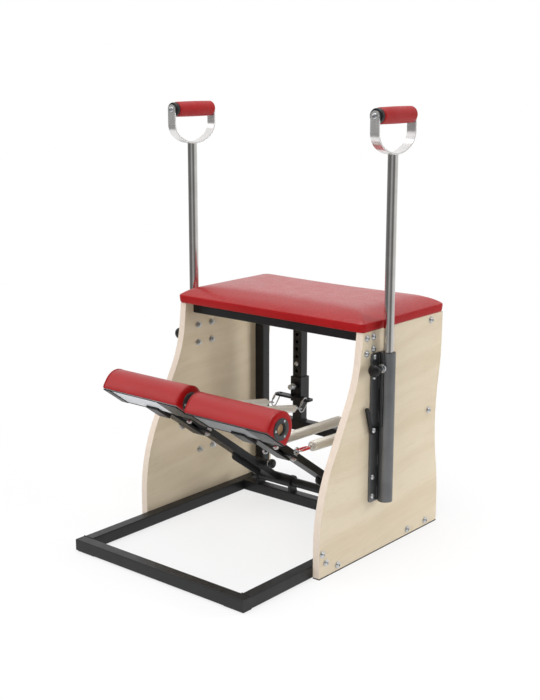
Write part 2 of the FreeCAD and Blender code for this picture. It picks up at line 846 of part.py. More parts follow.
def make_pedal_mount(name, side):
    # The carrying plate under the pedal board and the two cross straps on it, welded together
    x = side * arm_x
    half = plate_width / 2.0
    mount = arm_block(x - half, x + half, plate_near, plate_step, mount_level - plate_thickness, mount_level)
    step = arm_block(x - half, x + half, plate_step - plate_thickness, plate_step,
                     pedal_base - plate_thickness, mount_level)
    tongue = arm_block(x - half, x + half, plate_step - plate_thickness, plate_far,
                       pedal_base - plate_thickness, pedal_base)
    mount = mount.fuse([step, tongue])
    for reach in strap_reach.values():
        near = reach - strap_width / 2.0
        strap = arm_block(x - strap_half_length, x + strap_half_length, near, near + strap_width,
                          mount_level, arm_bottom)
        mount = mount.fuse(strap)
        for offset in (-tip_bolt_offset, tip_bolt_offset):
            hole = rod(tip_bolt_radius, on_arm(x + offset, reach, mount_level - 1),
                       on_arm(x + offset, reach, arm_bottom + 1))
            mount = mount.cut(hole)
    return raised(mount.removeSplitter(), name)


def spring_strap(name):
    return strap_reach["front"] if name == "left" else strap_reach["rear"]


def make_mount_bolts(name, side):
    # Eye bolts at the strap that carries the springs, plain bolts at the other one
    bolts = []
    down = Vector(0, 0, -1)
    for reach in strap_reach.values():
        for offset in (-tip_bolt_offset, tip_bolt_offset):
            x = side * arm_x + offset
            low = on_arm(x, reach, mount_level)
            seat = on_arm(x, reach, arm_bottom)
            nut = hexagon(nut_radius, nut_height, low, down)
            shank = rod(tip_bolt_radius, low + down * tip_bolt_stand, seat)
            if reach == spring_strap(name):
                eye = on_arm(x, reach, eye_level)
                ring = Part.makeTorus(eye_radius, eye_wire_radius, eye, Vector(1, 0, 0))
                neck = rod(tip_bolt_radius, seat, seat + Vector(0, 0, eye_neck + eye_wire_radius))
                bolts.append(nut.fuse([shank, neck, ring]))
            else:
                head = hexagon(nut_radius, nut_height, seat, Vector(0, 0, 1))
                bolts.append(nut.fuse([shank, head]))
    return Part.makeCompound([raised(bolt, name) for bolt in bolts])


def pedal_section(x, inset):
    # Flat base, straight sides and a round top made of two quarter arcs
    near = pedal_near + inset
    far = pedal_near + pedal_width - inset
    low = pedal_base
    spring_line = pedal_base + pedal_side_height
    r = pedal_width / 2.0 - inset
    k = r * math.sqrt(0.5)
    crown = on_arm(x, pedal_middle, spring_line + r)
    edges = [
        line_to(on_arm(x, near, low), on_arm(x, near, spring_line)),
        arc_to(on_arm(x, near, spring_line), on_arm(x, pedal_middle - k, spring_line + k), crown),
        arc_to(crown, on_arm(x, pedal_middle + k, spring_line + k), on_arm(x, far, spring_line)),
        line_to(on_arm(x, far, spring_line), on_arm(x, far, low)),
        line_to(on_arm(x, far, low), on_arm(x, near, low)),
    ]
    return Part.Wire(edges)


def pedal_ends(side):
    ends = sorted((side * pedal_inner, side * pedal_outer))
    return ends[0], ends[1]


def pedal_board_block(side):
    x0, x1 = pedal_ends(side)
    inset = pedal_board_inset
    return arm_block(x0 + inset, x1 - inset, pedal_near + inset, pedal_near + pedal_width - inset,
                     pedal_base, pedal_base + pedal_board_thickness)


def ring_axis(x):
    return on_arm(x, pedal_middle, pedal_base + ring_height)


def spigot_radius():
    return dowel_radius + running_clearance + ring_spigot_wall


def make_pedal_pad(name, side):
    x0, x1 = pedal_ends(side)
    drawn = pedal_end_round
    step = pedal_round_length
    sections = [(x0, drawn), (x0 + step * 0.3, drawn * 0.3), (x0 + step, 0.0),
                (x1 - step, 0.0), (x1 - step * 0.3, drawn * 0.3), (x1, drawn)]
    pad = Part.makeLoft([pedal_section(x, inset) for x, inset in sections], True, True)
    pad = pad.cut(pedal_board_block(side))
    pad = pad.cut(rod(spigot_radius(), ring_axis(x0 - 1), ring_axis(x1 + 1)))
    return raised(pad, name)


def make_pedal_rings(name, side):
    # A flange with a spigot pressed into each end of the pad
    rings = []
    x0, x1 = pedal_ends(side)
    for x, inward in ((x0, 1), (x1, -1)):
        flange = rod(ring_radius, ring_axis(x - inward * ring_thickness), ring_axis(x))
        spigot = rod(spigot_radius(), ring_axis(x), ring_axis(x + inward * ring_spigot_length))
        bore = rod(dowel_radius + running_clearance, ring_axis(x - 2 * inward * ring_thickness),
                   ring_axis(x + inward * (ring_spigot_length + 1)))
        rings.append(raised(flange.fuse(spigot).cut(bore), name))
    return Part.makeCompound(rings)


def make_dowel():
    x0, x1 = pedal_ends(1)
    dowel = rod(dowel_radius, ring_axis(x0 + dowel_end_recess), ring_axis(x1 - dowel_end_recess))
    return raised(dowel, "right")


def wing_front():
    return post_front - carriage_clearance - carriage_wall - wing_reach


def make_carriage(side):
    # A sleeve round the column with a cross wing for the springs and a boss for its pull knob
    x = side * column_x
    inner = tube / 2.0 + carriage_clearance
    outer = inner + carriage_wall
    middle = post_front + tube / 2.0
    z = wing_height
    low = z - carriage_below_wing
    high = z + carriage_above_wing
    wing = block(x - wing_half_length, x + wing_half_length, wing_front(), middle - inner,
                 z - wing_thickness / 2.0, z + wing_thickness / 2.0)
    tips = [edge for edge in wing.Edges if edge.BoundBox.ZLength > wing_thickness / 2.0]
    wing = wing.makeFillet(wing_web, tips)
    knob = carriage_knob_axis(side)
    boss = rod(boss_radius, knob, Vector(x, middle - inner, knob.z))
    sleeve = block(x - outer, x + outer, middle - outer, middle + outer, low, high)
    hollow = block(x - inner, x + inner, middle - inner, middle + inner, low, high)
    carriage = sleeve.fuse([wing, boss]).cut(hollow)
    for offset in (-wing_hole_offset, wing_hole_offset):
        hole_y = wing_front() + wing_web + wing_hole_radius
        carriage = carriage.cut(rod(wing_hole_radius, Vector(x + offset, hole_y, z - wing_thickness),
                                    Vector(x + offset, hole_y, z + wing_thickness)))
    pin_hole = rod(pin_radius + running_clearance, knob, Vector(x, middle - inner + 1, knob.z))
    return carriage.cut(pin_hole).removeSplitter()


def carriage_knob_axis(side):
    face = post_front - carriage_clearance - carriage_wall
    return Vector(side * column_x, face - boss_length, wing_height + carriage_knob_above_wing)


def make_carriage_knob(side):
    return knob_on(carriage_knob_axis(side), Vector(0, -1, 0), boss_length + carriage_wall,
                   carriage_knob_radius, carriage_knob_length)


def helix_point(radius, pitch, start, angle):
    return Vector(radius * math.cos(angle), radius * math.sin(angle), start + pitch * angle / (2 * math.pi))


def helix_direction(radius, pitch, angle):
    way = Vector(-radius * math.sin(angle), radius * math.cos(angle), pitch / (2 * math.pi))
    return way.normalize()


def arc_from_tangent(start, end, corner):
    # The arc from start to end whose tangents meet at the corner
    chord_middle = (start + end) * 0.5
    half_chord = (end - start).Length / 2.0
    bulge = corner - chord_middle
    lean = math.atan2(bulge.Length, half_chord)
    sagitta = half_chord * math.tan(lean / 2.0)
    return arc_to(start, chord_middle + bulge.normalize() * sagitta, end)


def biarc(start, end, way_in, way_out):
    span = end - start
    ways = way_in + way_out
    a = ways.dot(ways) - 4.0
    b = -2.0 * span.dot(ways)
    c = span.dot(span)
    reach = (-b - math.sqrt(b * b - 4.0 * a * c)) / (2.0 * a)
    first = start + way_in * reach
    second = end - way_out * reach
    joint = (first + second) * 0.5
    return [arc_from_tangent(start, joint, first), arc_from_tangent(joint, end, second)]


def coil(radius, pitch, start, turns, wire):
    # One unbroken wire of half-turn biarcs, with each end straight for one wire diameter
    half_turns = 2 * turns
    straight = 2.0 * wire
    edges = []
    here = helix_point(radius, pitch, start, 0.0)
    way = helix_direction(radius, pitch, 0.0)
    edges.append(line_to(here - way * straight, here))
    for step in range(half_turns):
        a, b = math.pi * step, math.pi * (step + 1)
        edges.extend(biarc(helix_point(radius, pitch, start, a), helix_point(radius, pitch, start, b),
                           helix_direction(radius, pitch, a), helix_direction(radius, pitch, b)))
    last = math.pi * half_turns
    end = helix_point(radius, pitch, start, last)
    way_out = helix_direction(radius, pitch, last)
    edges.append(line_to(end, end + way_out * straight))
    path = Part.Wire(edges)
    profile = Part.Wire(Part.makeCircle(wire, here - way * straight, way))
    tube_shape = path.makePipeShell([profile], True, False)
    return tube_shape


def coil_gap(radius, pitch, turns, wire):
    # Least distance between neighbouring turns, measured on points along the wire's middle line
    steps = 72
    points = [helix_point(radius, pitch, 0.0, 2 * math.pi * i / steps) for i in range(steps * turns + 1)]
    spans = [(i, j) for i in range(steps) for j in range(i + steps // 2, i + 2 * steps)]
    least = min((points[i] - points[j]).Length for i, j in spans)
    return least - 2.0 * wire


def hook_piece(end_z, outward, ring_centre, plug_radius, plug_length):
    # A plug inside the coil's end, a stem and a ring in the XZ plane, as one solid along the spring's axis
    out = Vector(0, 0, outward)
    base = Vector(0, 0, end_z)
    plug = rod(plug_radius, base - out * plug_length, base)
    ring = Part.makeTorus(hook_radius, hook_wire_radius, ring_centre, Vector(0, 1, 0))
    stem = rod(hook_wire_radius, base, ring_centre - out * hook_radius)
    return plug.fuse([stem, ring])


def link_direction():
    angle = math.radians(link_hang_degrees)
    return Vector(0, -math.cos(angle), -math.sin(angle))


def link_bends(side, offset):
    # Middle of the link's upper bend, which rides on the wing's front web, and of its lower bend
    web = Vector(side * column_x + offset, wing_front() + wing_web / 2.0, wing_height)
    corner = math.hypot(wing_web, wing_thickness) / 2.0
    upper = web + link_direction() * (link_radius - link_wire_radius - corner - link_gap)
    return upper, upper + link_direction() * link_straight


def link_piece(side, offset):
    # A long wire link hanging forward and down from the wing
    upper, lower = link_bends(side, offset)
    reach = link_radius + link_wire_radius + 1
    loop = None
    for centre, sign in ((Vector(0, 0, 0), -1), (Vector(0, 0, link_straight), 1)):
        bend = Part.makeTorus(link_radius, link_wire_radius, centre, Vector(1, 0, 0))
        bend = bend.common(block(-reach, reach, -reach, reach, centre.z, centre.z + sign * reach))
        loop = bend if loop is None else loop.fuse(bend)
    for y in (-link_radius, link_radius):
        loop = loop.fuse(rod(link_wire_radius, Vector(0, y, 0), Vector(0, y, link_straight)))
    loop = loop.removeSplitter()
    turn = Rotation(Vector(1, 0, 0), link_direction().cross(Vector(1, 0, 0)) * -1.0, link_direction(), "ZXY")
    loop.Placement = Placement(upper, turn).multiply(loop.Placement)
    return loop


def make_spring(name, side, which):
    offset = side * (1 if which == "outer" else -1)
    eye_x = side * arm_x + offset * tip_bolt_offset
    eye = arm_placement(name).multVec(on_arm(eye_x, spring_strap(name), eye_level))
    _, hanger = link_bends(side, offset * wing_hole_offset)
    span = hanger - eye
    front_ring = eye_radius + hook_radius - eye_wire_radius - hook_wire_radius - link_gap
    rear_ring = span.Length - (link_radius - link_wire_radius - hook_wire_radius - link_gap) - hook_radius
    coil_start = front_ring + hook_radius + front_stem
    coil_end = rear_ring - hook_radius - rear_stem
    pitch = (coil_end - coil_start) / spring_turns
    radius = spring_radius[name] - spring_wire_radius
    plug_radius = radius - spring_wire_radius - plug_clearance
    plug_length = plug_turns * pitch
    solids = [
        coil(radius, pitch, coil_start, spring_turns, spring_wire_radius),
        hook_piece(coil_start, -1, Vector(0, 0, front_ring), plug_radius, plug_length),
        hook_piece(coil_end, 1, Vector(0, 0, rear_ring), plug_radius, plug_length),
    ]
    gap = coil_gap(radius, pitch, 3, spring_wire_radius)
    print(name, which, "spring: turns", spring_turns, "pitch %.2f least gap %.2f mm" % (pitch, gap))
    along = span.normalize()
    across = Vector(1, 0, 0) - along * along.x
    across.normalize()
    place = Placement(eye, Rotation(across, along.cross(across), along, "ZXY"))
    for solid in solids:
        solid.Placement = place.multiply(solid.Placement)
    return Part.makeCompound(solids + [link_piece(side, offset * wing_hole_offset)])


def build():
    pieces = {}
    for name, side in sides:
        pieces[name + "_side_panel"] = make_panel(side)
        pieces[name + "_floor_rail"] = make_floor_rail(side)
        pieces[name + "_rear_post"] = make_rear_post(side)
        pieces[name + "_spring_column"] = make_column(side)
        pieces[name + "_mast_holder"] = make_mast_holder(side)
        pieces[name + "_clamp_lever"] = make_clamp_lever(side)
        pieces[name + "_mast"] = make_mast(side)
        pieces[name + "_bow"] = make_bow(side)
        pieces[name + "_grip"] = make_grip(side)
        pieces[name + "_grip_fittings"] = make_grip_fittings(side)
        pieces[name + "_mast_knob"] = make_mast_knob(side)
        pieces[name + "_arm"] = make_arm(name, side)
        pieces[name + "_arm_knob"] = make_arm_knob(name, side)
        pieces[name + "_pedal_mount"] = make_pedal_mount(name, side)
        pieces[name + "_mount_bolts"] = make_mount_bolts(name, side)
        pieces[name + "_pedal_board"] = raised(pedal_board_block(side), name)
        pieces[name + "_pedal_pad"] = make_pedal_pad(name, side)
        pieces[name + "_pedal_rings"] = make_pedal_rings(name, side)
        pieces[name + "_carriage"] = make_carriage(side)
        pieces[name + "_carriage_knob"] = make_carriage_knob(side)
        for which in ("inner", "outer"):
            pieces[name + "_" + which + "_spring"] = make_spring(name, side, which)
    pieces["rubber_feet"] = make_rubber_feet()
    pieces["front_floor_tube"] = make_front_floor_tube()
    pieces["hinge_cross_tube"] = cross_tube(rail_inner, from_front(cross_from_front), pad_height)
    pieces["lower_rear_tube"] = cross_tube(rail_inner, post_front, lower_tube_height)
    pieces["rear_seat_tube"] = cross_tube(rail_inner, post_front, panel_top - tube)
    pieces["front_seat_tube"] = make_front_seat_tube()
    pieces["seat_board"], pieces["seat_pad"] = make_seat()
    pieces["hinge_shaft"] = make_hinge_shaft()
    pieces["hinge_saddles"] = make_hinge_saddles()
    pieces["panel_bolts"] = make_panel_bolts()
    pieces["holder_bushes"] = make_holder_bushes()
    pieces["holder_bolts"] = make_holder_bolts()
    pieces["column_stops"] = make_column_stops()
    pieces["joining_dowel"] = make_dowel()
    return pieces


os.makedirs("parts", exist_ok=True)
for node, shape in build().items():
    shape.exportStep("parts/" + node + ".step")
    print(node, len(shape.Solids), "solids, volume %.0f" % shape.Volume, "valid", shape.isValid())
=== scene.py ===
import json
import math

import bmesh
import bpy
from mathutils import Matrix, Vector, noise


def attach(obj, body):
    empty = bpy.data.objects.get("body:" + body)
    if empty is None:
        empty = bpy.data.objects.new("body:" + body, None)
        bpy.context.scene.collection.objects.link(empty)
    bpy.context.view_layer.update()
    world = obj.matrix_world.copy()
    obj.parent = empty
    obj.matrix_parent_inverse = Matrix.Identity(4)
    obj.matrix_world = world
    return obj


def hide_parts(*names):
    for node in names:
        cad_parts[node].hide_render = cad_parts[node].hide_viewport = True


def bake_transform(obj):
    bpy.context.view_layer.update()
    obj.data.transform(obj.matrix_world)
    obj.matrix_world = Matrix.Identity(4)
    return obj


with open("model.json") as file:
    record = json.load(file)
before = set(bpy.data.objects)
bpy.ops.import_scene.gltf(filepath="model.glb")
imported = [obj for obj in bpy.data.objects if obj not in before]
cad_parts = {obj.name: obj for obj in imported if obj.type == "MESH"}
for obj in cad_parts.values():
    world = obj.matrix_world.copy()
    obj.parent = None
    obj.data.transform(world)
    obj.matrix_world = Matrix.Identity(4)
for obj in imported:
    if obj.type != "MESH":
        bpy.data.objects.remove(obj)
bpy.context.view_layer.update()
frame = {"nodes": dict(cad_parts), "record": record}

scene = bpy.context.scene
cadNodes = frame["nodes"]
record = frame["record"]
nodeBody = {node: body for body, names in record["behaviour"]["bodies"].items() for node in names}
nodeSlot = {part["node"]: part["material_slot"] for part in record["subparts"]}
sides = (("left", -1), ("right", 1))
halfLength = 0.384  # front face of the floor frame to the middle of the chair

camera = {
    "focalPixels": 1202.49, "imageHeight": 700, "sensor": 36.0,
    "azimuth": 39.93, "elevation": 13.29, "roll": 0.05,
    "distance": 2.86922, "across": 0.27541, "rise": 0.55039,
}


def aimCamera(spec):
    a, e, r = (math.radians(spec[key]) for key in ("azimuth", "elevation", "roll"))
    back = Vector((math.sin(a) * math.cos(e), -math.cos(a) * math.cos(e), math.sin(e)))
    right = Vector((math.cos(a), math.sin(a), 0))
    up = back.cross(right)
    across = right * math.cos(r) + up * math.sin(r)
    rise = up * math.cos(r) - right * math.sin(r)
    place = back * spec["distance"] + across * spec["across"] + rise * spec["rise"]
    place.y -= halfLength
    data = bpy.data.cameras.new("photoCamera")
    data.sensor_width = spec["sensor"]
    data.lens = spec["focalPixels"] / spec["imageHeight"] * spec["sensor"]
    data.clip_end = 100
    obj = bpy.data.objects.new("photoCamera", data)
    scene.collection.objects.link(obj)
    obj.matrix_world = Matrix.Translation(place) @ Matrix((across, rise, back)).transposed().to_4x4()
    scene.camera = obj


aimCamera(camera)


def rgb(red, green, blue):
    return (red, green, blue, 1.0)


def join(tree, value, socket):
    # a node given as a value stands for its first output
    if isinstance(value, bpy.types.Node):
        value = value.outputs[0]
    if isinstance(value, bpy.types.NodeSocket):
        tree.links.new(value, socket)
    else:
        socket.default_value = value


def put(tree, kind, inputs=None, **settings):
    node = tree.nodes.new(kind)
    for key, value in settings.items():
        setattr(node, key, value)
    for key, value in (inputs or {}).items():
        join(tree, value, node.inputs[key])
    return node


def maths(tree, how, *values):
    return put(tree, "ShaderNodeMath", dict(enumerate(values)), operation=how)


def vectors(tree, how, *values):
    return put(tree, "ShaderNodeVectorMath", dict(enumerate(values)), operation=how)


def remap(tree, value, low, high, toLow=0.0, toHigh=1.0, soft=False):
    return put(tree, "ShaderNodeMapRange", {
        "Value": value, "From Min": low, "From Max": high, "To Min": toLow, "To Max": toHigh},
        interpolation_type="SMOOTHSTEP" if soft else "LINEAR")


def noisy(tree, place, scale, detail, **more):
    return put(tree, "ShaderNodeTexNoise", {"Vector": place, "Scale": scale, "Detail": detail, **more})


studio = {
    # plain light on matt surfaces, with one shaded side
    "ambient": 0.84, "shade": 0.06, "shadeSide": (0.93, 0.30, 0.20), "shadeFrom": 0.1, "shadeTo": 0.6,
    # for polished metal: a bright sweep behind the chair and a darker room ahead
    "bright": 1.0, "dim": 0.16, "dimFrom": 0.05, "dimTo": 0.72, "dimSide": (0.62, -0.74, 0.10),
    # and near eye level dark flags and bright screens, by degrees round from the camera
    "flags": [(-180, 0.70), (-150, 0.36), (-118, 0.23), (-88, 0.18), (-62, 0.15), (-41, 0.25), (-24, 0.52), (-4, 0.36),
              (14, 0.16), (34, 0.19), (54, 0.60), (75, 0.80), (101, 0.72), (140, 1.0), (165, 1.0), (180, 0.70)],
    "flagsFade": (0.02, 0.16),
    # the floor runs out to white
    "floorTone": rgb(0.96, 0.96, 0.96), "floorRadius": 2.0, "floorNear": 0.45, "floorFar": 1.3, "floorGlow": 0.72,
    # place, aim, size, power, seen in polished metal
    "lamps": {
        "overhead": ((0.2, -0.3, 3.1), (0.0, 0.0, 0.4), 2.6, 50, True),
        "leftBox": ((-2.4, -2.2, 2.2), (0, 0, 0.5), 1.4, 4, True),
        "rightBox": ((2.6, -1.9, 1.1), (0.0, 0, 0.4), 1.4, 8, False),
        "lowFill": ((0.9, -2.3, 0.5), (-0.28, 0, 0.35), 0.9, 10, False),
        "rearBox": ((2.0, 2.4, 0.9), (-0.2, 0.1, 0.35), 1.2, 46, False),
    },
}


def lightWorld(spec):
    world = bpy.data.worlds.new("studio")
    scene.world = world
    world.use_nodes = True
    tree = world.node_tree
    tree.nodes.clear()
    way = put(tree, "ShaderNodeTexCoord").outputs["Generated"]

    def towards(direction):
        return vectors(tree, "DOT_PRODUCT", way, direction).outputs["Value"]

    sweep = remap(tree, towards(spec["dimSide"]), spec["dimFrom"], spec["dimTo"], spec["bright"], spec["dim"], True)
    a = math.radians(camera["azimuth"])
    ahead, aside = towards((math.sin(a), -math.cos(a), 0)), towards((math.cos(a), math.sin(a), 0))
    turn = remap(tree, maths(tree, "ARCTAN2", aside, ahead), -math.pi, math.pi)
    ramp = put(tree, "ShaderNodeValToRGB", {"Fac": turn})
    stops = ramp.color_ramp.elements
    for degrees, _ in spec["flags"][1:-1]:
        stops.new(degrees / 360 + 0.5)
    for stop, (degrees, level) in zip(stops, spec["flags"]):
        stop.position = degrees / 360 + 0.5
        stop.color = rgb(level, level, level)
    height = put(tree, "ShaderNodeSeparateXYZ", {0: way}).outputs["Z"]
    above = remap(tree, height, *spec["flagsFade"], soft=True)
    mirrored = put(tree, "ShaderNodeMix", {"Factor": above, 2: ramp, 3: sweep})
    ambient = remap(tree, towards(spec["shadeSide"]), spec["shadeFrom"], spec["shadeTo"], spec["ambient"],
                    spec["shade"], True)
    ray = put(tree, "ShaderNodeLightPath").outputs
    level = put(tree, "ShaderNodeMix", {"Factor": ray["Is Diffuse Ray"], 2: mirrored, 3: ambient})
    plain = maths(tree, "MAXIMUM", ray["Is Camera Ray"], ray["Is Transmission Ray"])
    white = put(tree, "ShaderNodeMix", {"Factor": plain, 2: level, 3: 1.0})
    light = put(tree, "ShaderNodeBackground", {"Color": rgb(1, 1, 1), "Strength": white})
    put(tree, "ShaderNodeOutputWorld", {"Surface": light})


def hangLamps(spec):
    for name, (place, aim, size, power, mirrored) in spec["lamps"].items():
        data = bpy.data.lights.new(name, "AREA")
        data.shape = "SQUARE"
        data.size = size
        data.energy = power
        obj = bpy.data.objects.new(name, data)
        scene.collection.objects.link(obj)
        obj.location = place
        obj.rotation_euler = (Vector(aim) - Vector(place)).to_track_quat("-Z", "Y").to_euler()
        obj.visible_camera = False
        obj.visible_glossy = mirrored


def layFloor(spec):
    bm = bmesh.new()
    bmesh.ops.create_circle(bm, cap_ends=True, segments=96, radius=spec["floorRadius"])
    mesh = bpy.data.meshes.new("floor")
    bm.to_mesh(mesh)
    bm.free()
    floor = bpy.data.objects.new("floor", mesh)
    scene.collection.objects.link(floor)
    paint = bpy.data.materials.new("floorPaint")
    paint.use_nodes = True
    tree = paint.node_tree
    tree.nodes.clear()
    matt = put(tree, "ShaderNodeBsdfDiffuse", {"Color": spec["floorTone"]})
    white = put(tree, "ShaderNodeEmission", {"Color": rgb(1, 1, 1), "Strength": 1.0})
    away = vectors(tree, "LENGTH", put(tree, "ShaderNodeTexCoord").outputs["Object"]).outputs["Value"]
    fade = remap(tree, away, spec["floorNear"], spec["floorFar"], spec["floorGlow"], soft=True)
    ray = put(tree, "ShaderNodeLightPath").outputs
    mirrored = maths(tree, "MAXIMUM", ray["Is Glossy Ray"], ray["Is Transmission Ray"])
    share = maths(tree, "MULTIPLY", fade, maths(tree, "MAXIMUM", ray["Is Camera Ray"], mirrored))
    both = put(tree, "ShaderNodeMixShader", {0: share, 1: matt, 2: white})
    put(tree, "ShaderNodeOutputMaterial", {"Surface": both})
    mesh.materials.append(paint)


lightWorld(studio)
hangLamps(studio)
layFloor(studio)
scene.view_settings.view_transform = "Standard"
print("studio and camera set")


def newGroup(name, inputs, outputs):
    # an input's kind follows from its starting value
    tree = bpy.data.node_groups.new(name, "ShaderNodeTree")
    for label, value in {"Vector": (0, 0, 0), **inputs}.items():
        kind = "NodeSocketVector" if isinstance(value, tuple) else "NodeSocketFloat"
        tree.interface.new_socket(label, in_out="INPUT", socket_type=kind).default_value = value
    for label in outputs:
        tree.interface.new_socket(label, in_out="OUTPUT", socket_type="NodeSocketFloat")
    return tree, tree.nodes.new("NodeGroupInput").outputs, tree.nodes.new("NodeGroupOutput").inputs


def makeCloudyTone():
    # slow change of tone over a surface, as a value between two limits
    tree, given, made = newGroup("cloudyTone", {"Scale": 10.0, "Low": 0.0, "High": 1.0}, ["Value"])
    cloud = noisy(tree, given["Vector"], given["Scale"], 5.0, Roughness=0.6)
    join(tree, remap(tree, cloud, 0.32, 0.68, given["Low"], given["High"]), made["Value"])
    return tree


def makePebbleGrain():
    # embossed leather grain: rounded pebbles with creases between them, and a mask for painting shade into those
    # creases
    tree, given, made = newGroup("pebbleGrain", {"Scale": 500.0}, ["Height", "Crease"])
    bent = noisy(tree, given["Vector"], 160.0, 2.0).outputs["Color"]
    shift = vectors(tree, "MULTIPLY", bent, (0.0022, 0.0022, 0.0022))
    warped = vectors(tree, "ADD", given["Vector"], shift)
    cell = put(tree, "ShaderNodeTexVoronoi", {"Vector": warped, "Scale": given["Scale"]}, feature="DISTANCE_TO_EDGE")
    edge = cell.outputs["Distance"]
    join(tree, remap(tree, edge, 0.0, 0.28, soft=True), made["Height"])
    join(tree, remap(tree, edge, 0.0, 0.10, 1.0, 0.0), made["Crease"])
    return tree


def makeWoodFibre():
    # long streaks along the first axis of the vector, with fine pores
    tree, given, made = newGroup("woodFibre", {"Streaks": 20.0}, ["Streak", "Pore", "Height"])
    sway = noisy(tree, given["Vector"], 3.2, 1.0).outputs["Color"]
    moved = vectors(tree, "ADD", given["Vector"], vectors(tree, "MULTIPLY", sway, (0.0, 0.05, 0.05)))
    long = vectors(tree, "MULTIPLY", moved, (0.07, 1.0, 1.0))
    wide = noisy(tree, long, given["Streaks"], 5.0, Roughness=0.62, Distortion=0.25)
    thin = vectors(tree, "MULTIPLY", moved, (0.03, 1.0, 1.0))
    fine = noisy(tree, thin, 520.0, 2.0)
    join(tree, remap(tree, wide, 0.38, 0.66, soft=True), made["Streak"])
    join(tree, remap(tree, fine, 0.56, 0.72), made["Pore"])
    join(tree, fine, made["Height"])
    return tree


def makeOrangePeel():
    # the fine skin of powder coat or moulded plastic
    tree, given, made = newGroup("orangePeel", {"Scale": 700.0}, ["Height"])
    join(tree, noisy(tree, given["Vector"], given["Scale"], 3.0, Roughness=0.55), made["Height"])
    return tree


def makeHairlines():
    # fine drawn lines along the third axis of the vector, as left on tube and wire
    tree, given, made = newGroup("hairlines", {"Scale": 900.0, "Low": 0.1, "High": 0.2}, ["Value", "Height"])
    drawn = vectors(tree, "MULTIPLY", given["Vector"], (1.0, 1.0, 0.012))
    lines = noisy(tree, drawn, given["Scale"], 2.0)
    join(tree, remap(tree, lines, 0.35, 0.65, given["Low"], given["High"]), made["Value"])
    join(tree, lines, made["Height"])
    return tree


cloudyTone, pebbleGrain, woodFibre = makeCloudyTone(), makePebbleGrain(), makeWoodFibre()
orangePeel, hairlines = makeOrangePeel(), makeHairlines()


def newFinish(name, **sockets):
    # a material with its shader; plain values go straight onto the shader's sockets
    finish = bpy.data.materials.new(name)
    finish.use_nodes = True
    tree = finish.node_tree
    tree.nodes.clear()
    shader = put(tree, "ShaderNodeBsdfPrincipled", {key.replace("_", " "): value for key, value in sockets.items()})
    put(tree, "ShaderNodeOutputMaterial", {"Surface": shader})
    return finish, tree, shader.inputs, put(tree, "ShaderNodeTexCoord").outputs["Object"]


def useGroup(tree, group, **inputs):
    return put(tree, "ShaderNodeGroup", inputs, node_tree=group)


def cloudy(tree, place, scale, low=0.0, high=1.0):
    return useGroup(tree, cloudyTone, Vector=place, Scale=scale, Low=low, High=high)


def blendColour(tree, factor, first, second):
    return put(tree, "ShaderNodeMix", {"Factor": factor, 6: first, 7: second}, data_type="RGBA").outputs[2]


def coverWith(tree, face, colour, gloss):
    join(tree, colour, face["Base Color"])
    join(tree, gloss, face["Roughness"])


def roughen(tree, face, height, depth, strength, **below):
    bump = put(tree, "ShaderNodeBump", {"Height": height, "Distance": depth, "Strength": strength, **below})
    join(tree, bump, face["Normal"])
    return bump


# creaseShade and its share: painted shade that darkens the vinyl's colour in the creases between the pebbles
vinyl = {
    "red": rgb(0.385, 0.0075, 0.009), "deep": rgb(0.34, 0.005, 0.0065), "creaseShade": rgb(0.22, 0.003, 0.0045),
    "creaseShadeShare": 0.4, "pebbles": 620.0, "grainDepth": 0.00004, "slackDepth": 0.00012, "relief": 0.2,
}


def makeVinyl(name, low, high, pebbles=1.0, **sockets):
    spec = vinyl
    finish, tree, face, place = newFinish(name, IOR=1.5, **sockets)
    grain = useGroup(tree, pebbleGrain, Vector=place, Scale=spec["pebbles"] * pebbles).outputs
    tone = blendColour(tree, cloudy(tree, place, 7.0), spec["deep"], spec["red"])
    # painted shade: the colour is darkened in the creases
    shade = maths(tree, "MULTIPLY", grain["Crease"], spec["creaseShadeShare"])
    coverWith(tree, face, blendColour(tree, shade, tone, spec["creaseShade"]), cloudy(tree, place, 26.0, low, high))
    slack = roughen(tree, face, cloudy(tree, place, 30.0), spec["slackDepth"], spec["relief"])
    roughen(tree, face, grain["Height"], spec["grainDepth"], spec["relief"], Normal=slack)
    return finish


ply = {
    "light": rgb(0.735, 0.635, 0.475), "dark": rgb(0.60, 0.485, 0.325), "pore": rgb(0.53, 0.41, 0.265),
    "streakShare": 0.46, "poreShare": 0.30, "grainTilt": 6.0, "grainDepth": 0.00006,
    "edgePale": rgb(0.80, 0.705, 0.60), "edgeDark": rgb(0.66, 0.53, 0.43), "layer": 0.0014, "layerDepth": 0.00008,
    "layerWobble": 0.0005,
}


def makePlyFace(name, spec):
    finish, tree, face, place = newFinish(name, Coat_Weight=0.10, Coat_Roughness=0.3)
    turn = put(tree, "ShaderNodeMapping", {"Vector": place, "Rotation": (math.radians(-spec["grainTilt"]), 0, 0)})
    parts = put(tree, "ShaderNodeSeparateXYZ", {0: turn}).outputs
    along = put(tree, "ShaderNodeCombineXYZ", {"X": parts["Y"], "Y": parts["Z"], "Z": parts["X"]})
    fibre = useGroup(tree, woodFibre, Vector=along, Streaks=15.0).outputs
    tone = blendColour(tree, maths(tree, "MULTIPLY", fibre["Streak"], spec["streakShare"]), spec["light"], spec["dark"])
    dots = maths(tree, "MULTIPLY", fibre["Pore"], spec["poreShare"])
    coverWith(tree, face, blendColour(tree, dots, tone, spec["pore"]), cloudy(tree, along, 18.0, 0.42, 0.55))
    roughen(tree, face, fibre["Height"], spec["grainDepth"], 0.5)
    return finish


